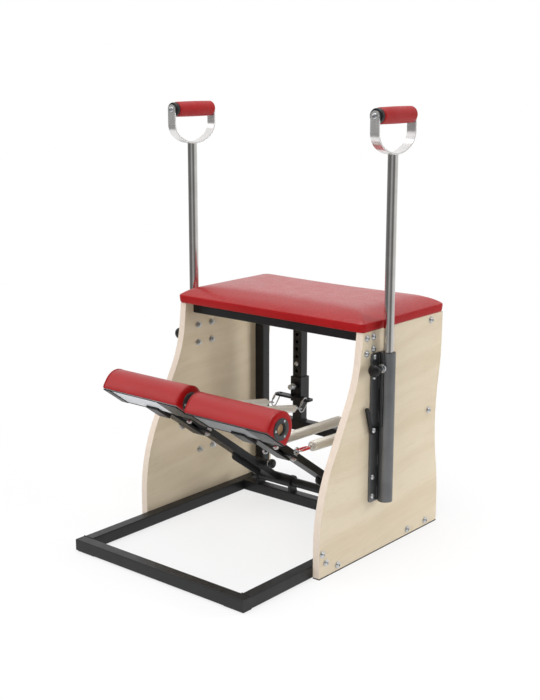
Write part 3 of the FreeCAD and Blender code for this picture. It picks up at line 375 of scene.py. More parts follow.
def makePlyEdge(name, spec):
    finish, tree, face, place = newFinish(name, Coat_Weight=0.05, Coat_Roughness=0.4)
    push = maths(tree, "MULTIPLY", noisy(tree, place, 40.0, 2.0), spec["layerWobble"])
    across = maths(tree, "ADD", put(tree, "ShaderNodeSeparateXYZ", {0: place}).outputs["X"], push)
    steps = maths(tree, "PINGPONG", across, spec["layer"])
    share = remap(tree, steps, spec["layer"] * 0.42, spec["layer"] * 0.58, soft=True)
    layers = blendColour(tree, share, spec["edgePale"], spec["edgeDark"])
    colour = blendColour(tree, cloudy(tree, place, 120.0, 0.0, 0.5), layers, spec["edgePale"])
    coverWith(tree, face, colour, cloudy(tree, place, 60.0, 0.5, 0.68))
    roughen(tree, face, share, spec["layerDepth"], 0.6)
    return finish


def makeCoat(name, dark, light, low, high, peel, **sockets):
    # painted or moulded surface: two near tones, uneven gloss and a fine skin
    finish, tree, face, place = newFinish(name, **sockets)
    tone = blendColour(tree, cloudy(tree, place, 14.0), rgb(*dark), rgb(*light))
    coverWith(tree, face, tone, cloudy(tree, place, 45.0, low, high))
    roughen(tree, face, useGroup(tree, orangePeel, Vector=place, Scale=peel), 0.00009, 0.45)
    return finish


def makeMetal(name, dark, light, low, high, **sockets):
    # bare metal with drawn lines and faint finger marks
    finish, tree, face, place = newFinish(name, **{"Metallic": 1.0, **sockets})
    lines = useGroup(tree, hairlines, Vector=place, Low=low, High=high)
    coverWith(tree, face, blendColour(tree, cloudy(tree, place, 22.0), rgb(*dark), rgb(*light)), lines)
    roughen(tree, face, lines.outputs["Height"], 0.00002, 0.25)
    return finish


dowelTone = {"light": rgb(0.47, 0.29, 0.155), "dark": rgb(0.30, 0.165, 0.078), "rings": 21.5}


def makeDowelWood(name, spec):
    # rings about the dowel's own axis, which lies across the chair
    finish, tree, face, place = newFinish(name, Coat_Weight=0.08, Coat_Roughness=0.35)
    fibre = useGroup(tree, woodFibre, Vector=place, Streaks=60.0).outputs
    ring = put(tree, "ShaderNodeTexWave", {"Vector": place, "Scale": spec["rings"], "Distortion": 3.0, "Detail": 2.0,
                                           "Detail Scale": 30.0}, wave_type="RINGS", rings_direction="X")
    both = maths(tree, "MULTIPLY", fibre["Streak"], ring.outputs["Fac"])
    tone = blendColour(tree, both, spec["light"], spec["dark"])
    coverWith(tree, face, tone, cloudy(tree, place, 70.0, 0.45, 0.6))
    roughen(tree, face, fibre["Height"], 0.00008, 0.5)
    return finish


# how each finish is made, and what it is made with
recipes = {
    # seatVinyl and sideVinyl are a lit and a shaded copy of one vinyl; the side copy's weaker reflection is painted
    # shade on the seat's sides and the pedals' ends
    "seatVinyl": (makeVinyl, (0.24, 0.31), {}),
    "sideVinyl": (makeVinyl, (0.34, 0.42), {"Specular_IOR_Level": 0.16}),
    "pedalVinyl": (makeVinyl, (0.32, 0.40), {}),
    "gripVinyl": (makeVinyl, (0.48, 0.60, 1.2), {}),
    "plyFace": (makePlyFace, (ply,), {}),
    "plyEdge": (makePlyEdge, (ply,), {}),
    "powderCoat": (makeCoat, ((0.0055, 0.0057, 0.0065), (0.0095, 0.0098, 0.0112), 0.36, 0.46, 650.0),
                   {"Specular_IOR_Level": 0.38}),
    "blackPlastic": (makeCoat, ((0.005, 0.005, 0.0055), (0.009, 0.009, 0.0095), 0.34, 0.46, 900.0),
                     {"Specular_IOR_Level": 0.38}),
    "charcoalPlastic": (makeCoat, ((0.020, 0.0205, 0.022), (0.030, 0.0305, 0.032), 0.4, 0.52, 900.0), {}),
    "rubber": (makeCoat, ((0.012, 0.012, 0.012), (0.02, 0.02, 0.02), 0.75, 0.9, 500.0), {}),
    "greyLaminate": (makeCoat, ((0.60, 0.615, 0.645), (0.66, 0.675, 0.70), 0.42, 0.55, 1200.0), {}),
    # a darker copy of the grey laminate, painted shade for the right pedal's underside
    "slateLaminate": (makeCoat, ((0.19, 0.195, 0.205), (0.225, 0.23, 0.24), 0.42, 0.55, 1200.0), {}),
    "redThread": (makeCoat, ((0.22, 0.006, 0.008), (0.30, 0.009, 0.011), 0.6, 0.75, 2500.0), {}),
    "redPlastic": (makeCoat, ((0.55, 0.012, 0.014), (0.62, 0.016, 0.018), 0.25, 0.35, 700.0), {}),
    "graphite": (makeCoat, ((0.15, 0.153, 0.158), (0.185, 0.188, 0.192), 0.36, 0.46, 1400.0), {"Metallic": 0.8}),
    "polished": (makeMetal, ((0.61, 0.59, 0.565), (0.70, 0.685, 0.665), 0.09, 0.15), {}),
    "brightSteel": (makeMetal, ((0.74, 0.73, 0.715), (0.82, 0.81, 0.80), 0.18, 0.25), {"Metallic": 0.8}),
    "zinc": (makeMetal, ((0.56, 0.57, 0.585), (0.68, 0.69, 0.70), 0.24, 0.36), {}),
    "springNickel": (makeMetal, ((0.87, 0.83, 0.75), (0.94, 0.91, 0.84), 0.30, 0.40), {"Metallic": 0.6}),
    "dowelWood": (makeDowelWood, (dowelTone,), {}),
}
finishes = {name: make(name, *values, **sockets) for name, (make, values, sockets) in recipes.items()}
print("finishes:", len(finishes))


def applyModifiers(obj):
    depsgraph = bpy.context.evaluated_depsgraph_get()
    mesh = bpy.data.meshes.new_from_object(obj.evaluated_get(depsgraph), preserve_all_data_layers=True,
                                           depsgraph=depsgraph)
    old = obj.data
    obj.modifiers.clear()
    obj.data = mesh
    mesh.name = obj.name
    bpy.data.meshes.remove(old)


def shadeSmooth(mesh):
    mesh.polygons.foreach_set("use_smooth", [True] * len(mesh.polygons))


def newPiece(name, bm, *finishNames, sharp=35, weighted=False):
    mesh = bpy.data.meshes.new(name)
    bm.to_mesh(mesh)
    bm.free()
    stale = mesh.attributes.get("custom_normal")
    if stale:
        mesh.attributes.remove(stale)
    mesh.materials.clear()
    for finish in finishNames:
        mesh.materials.append(finishes[finish])
    shadeSmooth(mesh)
    mesh.set_sharp_from_angle(angle=math.radians(sharp))
    obj = bpy.data.objects.new(name, mesh)
    scene.collection.objects.link(obj)
    if weighted:
        obj.modifiers.new("evenNormals", "WEIGHTED_NORMAL").keep_sharp = True
        applyModifiers(obj)
    return obj


def seatOn(obj, body, slot, *nodes):
    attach(obj, body)
    if nodes:
        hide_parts(*nodes)
    return obj


def carve(obj, tool):
    # takes the tool's shape out of the piece and puts the tool away
    cut = obj.modifiers.new("cut", "BOOLEAN")
    cut.operation = "DIFFERENCE"
    cut.solver = "EXACT"
    cut.object = tool
    applyModifiers(obj)
    bpy.data.objects.remove(tool)


solids = {"weld": 2e-5, "flat": math.radians(0.3), "hardEdge": math.radians(40), "straight": 0.98}


def dressed(node, finish, width=0.0, steps=2, least=0.0, axis=None):
    # the solid's own shape with its longer hard edges eased, standing for that solid
    bm = bmesh.new()
    bm.from_mesh(cadNodes[node].data)
    bmesh.ops.remove_doubles(bm, verts=bm.verts, dist=solids["weld"])
    bmesh.ops.dissolve_limit(bm, angle_limit=solids["flat"], verts=bm.verts, edges=bm.edges)
    if width:
        edges = []
        for edge in bm.edges:
            run = edge.verts[1].co - edge.verts[0].co
            along = axis is None or abs(run[axis]) > solids["straight"] * run.length
            hard = edge.is_manifold and edge.calc_face_angle_signed(0.0) > solids["hardEdge"]
            if hard and along and run.length > least:
                edges.append(edge)
        bmesh.ops.bevel(bm, geom=edges, offset=width, offset_type="OFFSET", segments=steps, profile=0.5,
                        affect="EDGES", clamp_overlap=True)
    names = finish if isinstance(finish, tuple) else (finish,)
    obj = newPiece(node + "_dressed", bm, *names, weighted=True)
    return seatOn(obj, nodeBody[node], nodeSlot[node], node)


def frameOf(axis):
    axis = axis.normalized()
    side = Vector((1, 0, 0)) if abs(axis.x) < 0.9 else Vector((0, 1, 0))
    first = (side - axis * side.dot(axis)).normalized()
    return first, axis.cross(first), axis


def lathe(bm, profile, start, axis, around):
    # turns (radius, distance) pairs about an axis; a third word makes that ring a hexagon
    first, second, axis = frameOf(axis)
    sixth = math.pi / 3
    rings = []
    for radius, rise, *hexagon in profile:
        centre = start + axis * rise
        if radius < 1e-6:
            rings.append([bm.verts.new(centre)])
            continue
        ring = []
        for step in range(around):
            angle = 2 * math.pi * step / around
            reach = radius
            if hexagon:
                reach = radius * math.cos(sixth / 2) / math.cos((angle % sixth) - sixth / 2)
            ring.append(bm.verts.new(centre + first * reach * math.cos(angle) + second * reach * math.sin(angle)))
        rings.append(ring)
    faces = []
    for low, high in zip(rings, rings[1:]):
        for step in range(around):
            after = (step + 1) % around
            corners = [low[step % len(low)], low[after % len(low)], high[after % len(high)], high[step % len(high)]]
            unique = list(dict.fromkeys(corners))
            if len(unique) > 2:
                faces.append(bm.faces.new(unique))
    bmesh.ops.recalc_face_normals(bm, faces=faces)


def millimetres(profile):
    return [(radius / 1000, rise / 1000, *hexagon) for radius, rise, *hexagon in profile]


def turned(name, profile, start, axis, around, finish, sharp, *seating):
    # a lathe piece from a profile in millimetres, seated on its body
    bm = bmesh.new()
    lathe(bm, millimetres(profile), start, axis, around)
    seatOn(newPiece(name, bm, finish, sharp=sharp), *seating)


def addWire(bm, points, radius, closed=False):
    # a round wire along smooth points
    curve = bpy.data.curves.new("wire", "CURVE")
    curve.dimensions = "3D"
    curve.bevel_depth = radius
    curve.bevel_resolution = 3
    curve.use_fill_caps = True
    curve.resolution_u = 6
    spline = curve.splines.new("NURBS")
    spline.points.add(len(points) - 1)
    for target, point in zip(spline.points, points):
        target.co = (point[0], point[1], point[2], 1)
    spline.use_cyclic_u = closed
    spline.use_endpoint_u = not closed
    spline.order_u = 3
    reel = bpy.data.objects.new("wire", curve)
    scene.collection.objects.link(reel)
    mesh = bpy.data.meshes.new_from_object(reel.evaluated_get(bpy.context.evaluated_depsgraph_get()))
    bpy.data.objects.remove(reel)
    bpy.data.curves.remove(curve)
    bm.from_mesh(mesh)
    bpy.data.meshes.remove(mesh)


def addBox(bm, place, low, high, eased=0.0):
    size = Matrix.Diagonal((high[0] - low[0], high[1] - low[1], high[2] - low[2], 1))
    middle = Matrix.Translation([(a + b) / 2 for a, b in zip(low, high)])
    made = bmesh.ops.create_cube(bm, size=1.0, matrix=place @ middle @ size)["verts"]
    if eased:
        edges = list({edge for vert in made for edge in vert.link_edges})
        bmesh.ops.bevel(bm, geom=edges, offset=eased, segments=2, affect="EDGES")


def newTree(name, **inputs):
    tree = bpy.data.node_groups.new(name, "GeometryNodeTree")
    for label, kind in {"Geometry": "Geometry", **inputs, "Finish": "Material"}.items():
        tree.interface.new_socket(label, in_out="INPUT", socket_type="NodeSocket" + kind)
    tree.interface.new_socket("Geometry", in_out="OUTPUT", socket_type="NodeSocketGeometry")
    return tree, tree.nodes.new("NodeGroupInput").outputs


def closeTree(tree, shape, given, smooth=True):
    shape = put(tree, "GeometryNodeRealizeInstances", {"Geometry": shape})
    if smooth:
        shape = put(tree, "GeometryNodeSetShadeSmooth", {"Geometry": shape})
    shape = put(tree, "GeometryNodeSetMaterial", {"Geometry": shape, "Material": given["Finish"]})
    put(tree, "NodeGroupOutput", {0: shape})
    return tree


def grown(name, tree, finish, values, place=None, mesh=None):
    # runs a geometry tree on a new object and keeps the result as a plain mesh in its place
    obj = bpy.data.objects.new(name, mesh or bpy.data.meshes.new(name))
    scene.collection.objects.link(obj)
    modifier = obj.modifiers.new(tree.name, "NODES")
    modifier.node_group = tree
    values = {"Finish": finishes[finish], **values}
    for item in tree.interface.items_tree:
        if item.in_out == "INPUT" and item.name in values:
            modifier[item.identifier] = values[item.name]
    applyModifiers(obj)
    if place is not None:
        obj.data.transform(place)
    return obj


def makeFastenerTree():
    # one fastener on each point, its axis along the point's facing, turned at random about it
    tree, given = newTree("fasteners", Fastener="Object", Seed="Int")
    shape = put(tree, "GeometryNodeObjectInfo", {"Object": given["Fastener"]}).outputs["Geometry"]
    facing = put(tree, "GeometryNodeInputNamedAttribute", {"Name": "facing"}, data_type="FLOAT_VECTOR")
    upright = put(tree, "FunctionNodeAlignRotationToVector", {"Vector": facing}, axis="Z")
    spin = put(tree, "FunctionNodeRandomValue", {2: 0.0, 3: math.tau, "Seed": given["Seed"]}, data_type="FLOAT")
    twist = put(tree, "FunctionNodeAxisAngleToRotation", {"Axis": (0, 0, 1), "Angle": spin.outputs[1]})
    turn = put(tree, "FunctionNodeRotateRotation", {"Rotation": upright, "Rotate By": twist}, rotation_space="LOCAL")
    each = put(tree, "GeometryNodeInstanceOnPoints", {"Points": given["Geometry"], "Instance": shape, "Rotation": turn})
    return closeTree(tree, each, given, False)


def makeWeldTree():
    # a row of overlapping beads along each edge of the mesh
    tree, given = newTree("weldBeads", Bead="Float", Spacing="Float", Seed="Int")
    line = put(tree, "GeometryNodeMeshToCurve", {"Mesh": given["Geometry"]})
    even = put(tree, "GeometryNodeResampleCurve", {"Curve": line, "Length": given["Spacing"]}, mode="LENGTH")
    bead = put(tree, "GeometryNodeMeshUVSphere", {"Segments": 8, "Rings": 5, "Radius": given["Bead"]})
    vary = put(tree, "FunctionNodeRandomValue", {2: 0.8, 3: 1.15, "Seed": given["Seed"]}, data_type="FLOAT")
    each = put(tree, "GeometryNodeInstanceOnPoints", {"Points": even, "Instance": bead, "Scale": vary.outputs[1]})
    return closeTree(tree, each, given)


def makeCoilTree():
    # a close-wound spring along z whose last turns draw in towards the axis at both ends
    tree, given = newTree("coilSpring", Length="Float", Radius="Float", Wire="Float", Turns="Float", Points="Int",
                          Taper="Float", Neck="Float")
    line = put(tree, "GeometryNodeCurvePrimitiveLine", {"End": (0, 0, 1)})
    many = put(tree, "GeometryNodeResampleCurve", {"Curve": line, "Count": given["Points"]})
    share = put(tree, "GeometryNodeSplineParameter").outputs["Factor"]
    nearer = maths(tree, "MINIMUM", share, maths(tree, "SUBTRACT", 1.0, share))
    fromEnd = maths(tree, "MULTIPLY", nearer, given["Length"])
    width = remap(tree, fromEnd, 0.0, given["Taper"], given["Neck"], given["Radius"], True)
    angle = maths(tree, "MULTIPLY", maths(tree, "MULTIPLY", share, given["Turns"]), math.tau)
    x, y = (maths(tree, "MULTIPLY", maths(tree, way, angle), width) for way in ("COSINE", "SINE"))
    spot = put(tree, "ShaderNodeCombineXYZ", {"X": x, "Y": y, "Z": maths(tree, "MULTIPLY", share, given["Length"])})
    wound = put(tree, "GeometryNodeSetPosition", {"Geometry": many, "Position": spot})
    section = put(tree, "GeometryNodeCurvePrimitiveCircle", {"Resolution": 6, "Radius": given["Wire"]})
    skin = put(tree, "GeometryNodeCurveToMesh", {"Curve": wound, "Profile Curve": section, "Fill Caps": True})
    return closeTree(tree, skin, given)


def makeStitchTree():
    # short threads laid end to end along each line of the mesh
    tree, given = newTree("stitches", Gap="Float", Length="Float", Thread="Float")
    line = put(tree, "GeometryNodeMeshToCurve", {"Mesh": given["Geometry"]})
    spots = put(tree, "GeometryNodeCurveToPoints", {"Curve": line, "Length": given["Gap"]}, mode="LENGTH")
    along = put(tree, "FunctionNodeAlignRotationToVector", {"Vector": spots.outputs["Tangent"]}, axis="X")
    ball = put(tree, "GeometryNodeMeshUVSphere", {"Segments": 6, "Rings": 4, "Radius": 1.0})
    shape = put(tree, "ShaderNodeCombineXYZ", {"X": given["Length"], "Y": given["Thread"], "Z": given["Thread"]})
    each = put(tree, "GeometryNodeInstanceOnPoints", {"Points": spots, "Instance": ball, "Rotation": along,
                                                      "Scale": shape})
    return closeTree(tree, each, given)


fastenerTree, weldTree, coilTree, stitchTree = makeFastenerTree(), makeWeldTree(), makeCoilTree(), makeStitchTree()
print("geometry trees built")


def fasten(name, profile, places, seed, body, *nodes):
    # profile in millimetres, standing on z = 0; places are (point, facing) pairs
    bm = bmesh.new()
    lathe(bm, millimetres(profile), Vector(), Vector((0, 0, 1)), 24)
    pattern = newPiece("pattern", bm, "zinc", sharp=30)
    mesh = bpy.data.meshes.new(name)
    mesh.from_pydata([tuple(point) for point, _ in places], [], [])
    facing = mesh.attributes.new("facing", "FLOAT_VECTOR", "POINT")
    for target, (_, way) in zip(facing.data, places):
        target.vector = way
    obj = grown(name, fastenerTree, "zinc", {"Fastener": pattern, "Seed": seed}, mesh=mesh)
    bpy.data.objects.remove(pattern)
    seatOn(obj, body, "zinc", *nodes)


def weld(name, lines, bead, finish, seed, body, slot, place=None):
    # lines are six numbers each: from one point to another
    mesh = bpy.data.meshes.new(name)
    points = [tuple(part) for line in lines for part in (line[:3], line[3:])]
    mesh.from_pydata(points, [(i, i + 1) for i in range(0, len(points), 2)], [])
    values = {"Bead": bead, "Spacing": bead * 0.9, "Seed": seed}
    seatOn(grown(name, weldTree, finish, values, place, mesh), body, slot)


panels = {"easedEdge": 0.0012, "holeEdge": 0.004, "faceWay": 0.8}
for name, _ in sides:
    panel = dressed(name + "_side_panel", ("plyFace", "plyEdge"), panels["easedEdge"], 2, panels["holeEdge"])
    for face in panel.data.polygons:
        face.material_index = 0 if abs(face.normal.x) > panels["faceWay"] else 1

tubes = {
    "corner": 0.0028, "steps": 3, "shortest": 0.1,
    "across": ("front_floor_tube", "hinge_cross_tube", "lower_rear_tube", "rear_seat_tube", "front_seat_tube"),
    "onSides": {"_floor_rail": 1, "_rear_post": 2, "_spring_column": 2},
}
tubeRuns = [(node, 0) for node in tubes["across"]]
tubeRuns += [(name + ending, axis) for name, _ in sides for ending, axis in tubes["onSides"].items()]
for node, axis in tubeRuns:
    dressed(node, "powderCoat", tubes["corner"], tubes["steps"], tubes["shortest"], axis)
print("panels and frame tubes dressed")

# finish, eased edge, steps, shortest edge that is eased
plates = {
    "hinge_saddles": ("powderCoat", 0.001), "hinge_shaft": ("powderCoat", 0.001), "rubber_feet": ("rubber", 0.0008),
    "holder_bushes": ("charcoalPlastic",), "seat_board": ("plyFace", 0.001),
}
sidePlates = {
    "_arm": ("powderCoat", 0.0025, 3, 0.05), "_pedal_mount": ("powderCoat", 0.001, 2, 0.012),
    "_carriage": ("powderCoat", 0.001, 2, 0.004), "_clamp_lever": ("blackPlastic", 0.0016, 3, 0.0005),
    "_mast": ("polished",), "_bow": ("brightSteel", 0.0009),
}
# the right board takes the darker laminate copy as painted shade
boards = {"left": "greyLaminate", "right": "slateLaminate", "eased": 0.0012}
for node, look in plates.items():
    dressed(node, *look)
for name, _ in sides:
    for ending, look in sidePlates.items():
        dressed(name + ending, *look)
    dressed(name + "_pedal_board", boards[name], boards["eased"])
dressed("joining_dowel", "dowelWood", 0.0015, 3)
print("arms, mounts, carriages and masts dressed")

holder = {
    "slits": ((0.334, 0.469), (0.501, 0.531)), "slitWidth": 0.0026, "mastX": 0.3225, "mastY": 0.106,
    "tubeRadius": 0.0185, "eased": 0.0012, "shortest": 0.003,
}


def makeHolder(name, side, spec):
    obj = dressed(name + "_mast_holder", "graphite", spec["eased"], 2, spec["shortest"])
    bm = bmesh.new()
    x, y = side * spec["mastX"], spec["mastY"] - spec["tubeRadius"]
    wide, deep = spec["slitWidth"] / 2, spec["tubeRadius"] / 2
    for low, high in spec["slits"]:
        addBox(bm, Matrix.Identity(4), (x - wide, y - deep, low), (x + wide, y + deep, high))
    carve(obj, newPiece("slitCutter", bm, "graphite"))


for name, side in sides:
    makeHolder(name, side, holder)
print("mast holders slit")

bolts = {
    "domeHead": [(0, 0), (9, 0), (9, 1.3), (8.7, 1.6), (7, 1.6), (6.9, 2.6), (6.2, 4.1), (5.0, 5.1), (3.4, 5.6),
                 (3.0, 5.6, "hex"), (2.9, 3.0, "hex"), (0, 2.8)],
    "bareHead": [(0, 0), (7, 0), (6.9, 1.2), (6.2, 2.7), (5.0, 3.6), (3.4, 4.0), (3.0, 4.0, "hex"), (2.9, 1.6, "hex"),
                 (0, 1.4)],
    "nut": [(0, 0), (9, 0), (9, 1.3), (8.7, 1.6), (6.6, 1.6, "hex"), (7.0, 2.1, "hex"), (7.0, 7.0, "hex"),
            (6.4, 7.6, "hex"), (4.0, 7.7), (4.0, 10.2), (3.4, 10.6), (0, 10.6)],
    "plainNut": [(0, 0), (6.6, 0, "hex"), (7.0, 0.5, "hex"), (7.0, 5.4, "hex"), (6.4, 6.0, "hex"), (4.0, 6.1),
                 (4.0, 7.6), (3.4, 8.0), (0, 8.0)],
    "hexHead": [(0, 0), (7.0, 0, "hex"), (7.0, 5.2, "hex"), (6.4, 6.0, "hex"), (0, 6.1)],
    "panelFace": 0.301, "insideFace": 0.281, "plateFace": 0.305, "leverFace": 0.3118,
    "panelPlaces": [(0.712, 0.017), (0.712, 0.322), (0.712, 0.562), (0.325, 0.017), (0.627, 0.017), (0.457, 0.562),
                    (0.430, 0.562), (0.278, 0.038), (0.263, 0.063), (0.429, 0.524), (0.457, 0.532)],
    "holderRows": (0.459, 0.512), "holderHeights": (0.511, 0.462, 0.206, 0.157),
    "leverPivot": (0.450, 0.330), "columnX": 0.127, "columnFace": 0.697, "stopHeights": (0.255, 0.381),
}


def boltPanels(spec):
    outer, plain, inner, stops = [], [], [], []
    holderPlaces = [(y, z) for y in spec["holderRows"] for z in spec["holderHeights"]]
    for _, side in sides:
        out = Vector((side, 0, 0))

        def spot(face, y, z):
            return Vector((side * spec[face], y - halfLength, z))

        outer += [(spot("panelFace", *place), out) for place in spec["panelPlaces"]]
        plain += [(spot("plateFace", *place), out) for place in holderPlaces]
        inner += [(spot("insideFace", *place), -out) for place in holderPlaces]
        plain.append((spot("leverFace", *spec["leverPivot"]), out))
        stops += [(spot("columnX", spec["columnFace"], z), Vector((0, -1, 0))) for z in spec["stopHeights"]]
    fasten("panelBoltHeads", spec["domeHead"], outer, 3, "frame", "panel_bolts")
    fasten("holderBoltHeads", spec["bareHead"], plain, 5, "frame", "holder_bolts")
    fasten("holderNuts", spec["nut"], inner, 7, "frame")
    fasten("columnStopHeads", spec["bareHead"], stops, 11, "frame", "column_stops")


boltPanels(bolts)
print("bolts set")

arm = {"hinge": (0, 0.243, 0.060), "restDegrees": {"left": 35.8, "right": 34.8}, "x": 0.1435}
armPlace = {name: Matrix.Translation(arm["hinge"]) @ Matrix.Rotation(-math.radians(arm["restDegrees"][name]), 4, "X")
            for name, _ in sides}


def onArm(name, x, reach, rise):
    return armPlace[name] @ Vector((x, -reach, rise))


mount = {
    "straps": {"rear": 0.395, "front": 0.477}, "springStrap": {"left": "front", "right": "rear"},
    "tip": 0.045, "top": -0.0095, "under": -0.0155, "eyeLevel": 0.0025, "eyeRadius": 0.008, "eyeWire": 0.0025,
    "eyePoints": 20, "eyeFoot": [(0, 0), (6.2, 0), (6.2, 1), (4, 2.2), (3.6, 4), (0, 4.2)],
    "plugWidth": 0.0355, "plugHeight": 0.0135, "plugEnds": (-0.506, -0.500), "plugEased": 0.001, "armMiddle": -0.0005,
}


def dressMount(name, side, spec):
    body = name + "_pedal"
    up = armPlace[name].to_3x3() @ Vector((0, 0, 1))
    nuts, heads = [], []
    eyes = bmesh.new()
    for which, reach in spec["straps"].items():
        for offset in (-spec["tip"], spec["tip"]):
            x = side * arm["x"] + offset
            nuts.append((onArm(name, x, reach, spec["under"]), -up))
            top = onArm(name, x, reach, spec["top"])
            if which != spec["springStrap"][name]:
                heads.append((top, up))
                continue
            angles = [math.tau * step / spec["eyePoints"] for step in range(spec["eyePoints"])]
            ring = [onArm(name, x, reach + spec["eyeRadius"] * math.cos(angle),
                          spec["eyeLevel"] + spec["eyeRadius"] * math.sin(angle)) for angle in angles]
            addWire(eyes, ring, spec["eyeWire"], True)
            lathe(eyes, millimetres(spec["eyeFoot"]), top, up, 20)
    seatOn(newPiece(name + "EyeBolts", eyes, "zinc"), body, "zinc", name + "_mount_bolts")
    fasten(name + "StrapNuts", bolts["plainNut"], nuts, 13 + side, body)
    fasten(name + "StrapBolts", bolts["hexHead"], heads, 17 + side, body)
    plug = bmesh.new()
    x, z, wide, tall = side * arm["x"], spec["armMiddle"], spec["plugWidth"] / 2, spec["plugHeight"] / 2
    low, high = spec["plugEnds"]
    addBox(plug, armPlace[name], (x - wide, low, z - tall), (x + wide, high, z + tall), spec["plugEased"])
    seatOn(newPiece(name + "ArmPlug", plug, "blackPlastic", weighted=True), body, "black_plastic")


for name, side in sides:
    dressMount(name, side, mount)
print("pedal mounts bolted")

pullKnobs = {
    "collar": [(0, -13), (3.9, -13), (3.9, 0.5), (7.2, 0.5), (8.9, 0.6, "hex"), (9.2, 1.0, "hex"), (9.2, 3.6, "hex"),
               (8.7, 4.1, "hex"), (6.6, 4.3), (6.2, 4.8), (6.2, 7.4), (0, 7.4)],
    "mastHead": [(0, 4.4), (7.0, 4.4), (8.0, 5.0), (8.0, 20.6), (8.8, 23.0), (12.0, 24.4), (14.6, 25.9), (15.8, 28.0),
                 (16.0, 30.2), (15.4, 33.0), (13.6, 35.8), (10.4, 38.0), (6.0, 39.2), (0, 39.5)],
    "bossRing": [(9.0, -5.2), (10.6, -5.2), (11.0, -4.7), (11.0, -0.7), (10.5, -0.2), (9.0, -0.2)],
    "armHead": [(0, 6.4), (8.6, 6.4), (11.2, 7.2), (12.6, 8.6), (13.0, 10.4), (13.0, 14.4), (12.4, 16.6), (10.6, 18.4),
                (7.4, 19.3), (0, 19.5)],
    "carriageHead": [(0, 6.6), (4.6, 6.6), (6.6, 7.4), (7.7, 8.8), (8.0, 10.6), (8.0, 14.0), (7.5, 16.4), (6.2, 18.3),
                     (3.6, 19.3), (0, 19.5)],
    "mastStart": (0.3225, 0.0775, 0.485), "carriageStart": (0.127, 0.2996, 0.318),
    "armStart": (0.1135, 0.095, 0.014),
}


def makeKnob(name, kind, start, axis, finish, slot, spec):
    label, body = name + kind.capitalize() + "Knob", name + "_" + kind + "_pull"
    turned(label + "Collar", spec["collar"], start, axis, 36, "zinc", 30, body, "zinc", name + "_" + kind + "_knob")
    turned(label + "Head", spec[kind + "Head"], start, axis, 48, finish, 50, body, slot)


def makeKnobs(name, side, spec):
    ahead = Vector((0, -1, 0))
    x, y, z = spec["mastStart"]
    start = Vector((side * x, y, z))
    makeKnob(name, "mast", start, ahead, "blackPlastic", "black_plastic", spec)
    turned(name + "BossRing", spec["bossRing"], start, ahead, 48, "zinc", 30, "frame", "zinc")
    x, y, z = spec["carriageStart"]
    makeKnob(name, "carriage", Vector((side * x, y, z)), ahead, "zinc", "zinc", spec)
    x, reach, rise = spec["armStart"]
    makeKnob(name, "arm", onArm(name, side * x, reach, rise), Vector((-side, 0, 0)), "blackPlastic", "black_plastic",
             spec)


for name, side in sides:
    makeKnobs(name, side, pullKnobs)
print("pull knobs turned")

grip = {
    "x": 0.3225, "z": 1.085, "low": 0.0455, "high": 0.1785, "radius": 0.0195, "crown": 0.0006, "round": 0.004,
    "roundSteps": 8, "crownSteps": 30, "endFace": [(0.0, 0.0005), (0.010, 0.0002), (0.0152, 0.0)],
    "legFace": 0.0285, "legBack": 0.1835, "seamWidth": 0.0012, "seamDepth": 0.0007, "foldDepth": 0.00018,
    "core": 0.012,
    "collar": [(0, 0), (15.0, 0), (16.8, 0.7), (17.8, 2.4), (18.0, 4.0), (18.0, 10.4), (17.5, 12.0), (16.4, 13.0),
               (0, 13.0)],
    "screw": [(0, 0), (7.0, 0), (7.0, 1.0), (6.4, 2.6), (5.0, 3.6), (3.4, 4.0), (2.9, 4.0, "hex"), (2.8, 2.0, "hex"),
              (0, 1.9)],
}


def makeGrip(name, side, spec):
    # a sewn vinyl sleeve, slightly fuller in the middle, its seam along the underside
    body, ahead = name + "_mast_handle", Vector((0, -1, 0))
    centre = Vector((side * spec["x"], 0, spec["z"]))
    start = centre + Vector((0, spec["low"], 0))
    length = spec["high"] - spec["low"]
    bm = bmesh.new()
    profile = list(spec["endFace"])
    for step in range(spec["roundSteps"] + 1):
        angle = math.pi / 2 * step / spec["roundSteps"]
        profile.append((spec["radius"] - spec["round"] * (1 - math.sin(angle)), spec["round"] * (1 - math.cos(angle))))
    end = list(profile)
    for step in range(1, spec["crownSteps"]):
        share = step / spec["crownSteps"]
        profile.append((spec["radius"] + spec["crown"] * math.sin(math.pi * share),
                        spec["round"] + (length - 2 * spec["round"]) * share))
    profile += [(radius, length - rise) for radius, rise in reversed(end)]
    lathe(bm, profile, start, -ahead, 96)
    for vert in bm.verts:
        out = vert.co - centre
        out.y = 0
        if out.length < spec["core"]:
            continue
        around = math.atan2(out.x, -out.z) * out.length  # distance from the seam line below
        groove = math.exp(-(around / spec["seamWidth"]) ** 2) * spec["seamDepth"]
        fold = spec["foldDepth"] * noise.noise(Vector((around * 60, vert.co.y * 160, side * 3.0)))
        vert.co -= out.normalized() * (groove - fold)
    sleeve = newPiece(name + "GripSleeve", bm, "gripVinyl", sharp=60)
    seatOn(sleeve, body, "red_grip", name + "_grip")
    turned(name + "GripCollar", spec["collar"], start, ahead, 64, "blackPlastic", 40, body, "black_plastic",
           name + "_grip_fittings")
    ends = [(centre + Vector((0, spec["legFace"], 0)), ahead), (centre + Vector((0, spec["legBack"], 0)), -ahead)]
    fasten(name + "GripScrews", spec["screw"], ends, 23 + side, body)


for name, side in sides:
    makeGrip(name, side, grip)
print("grips sewn")

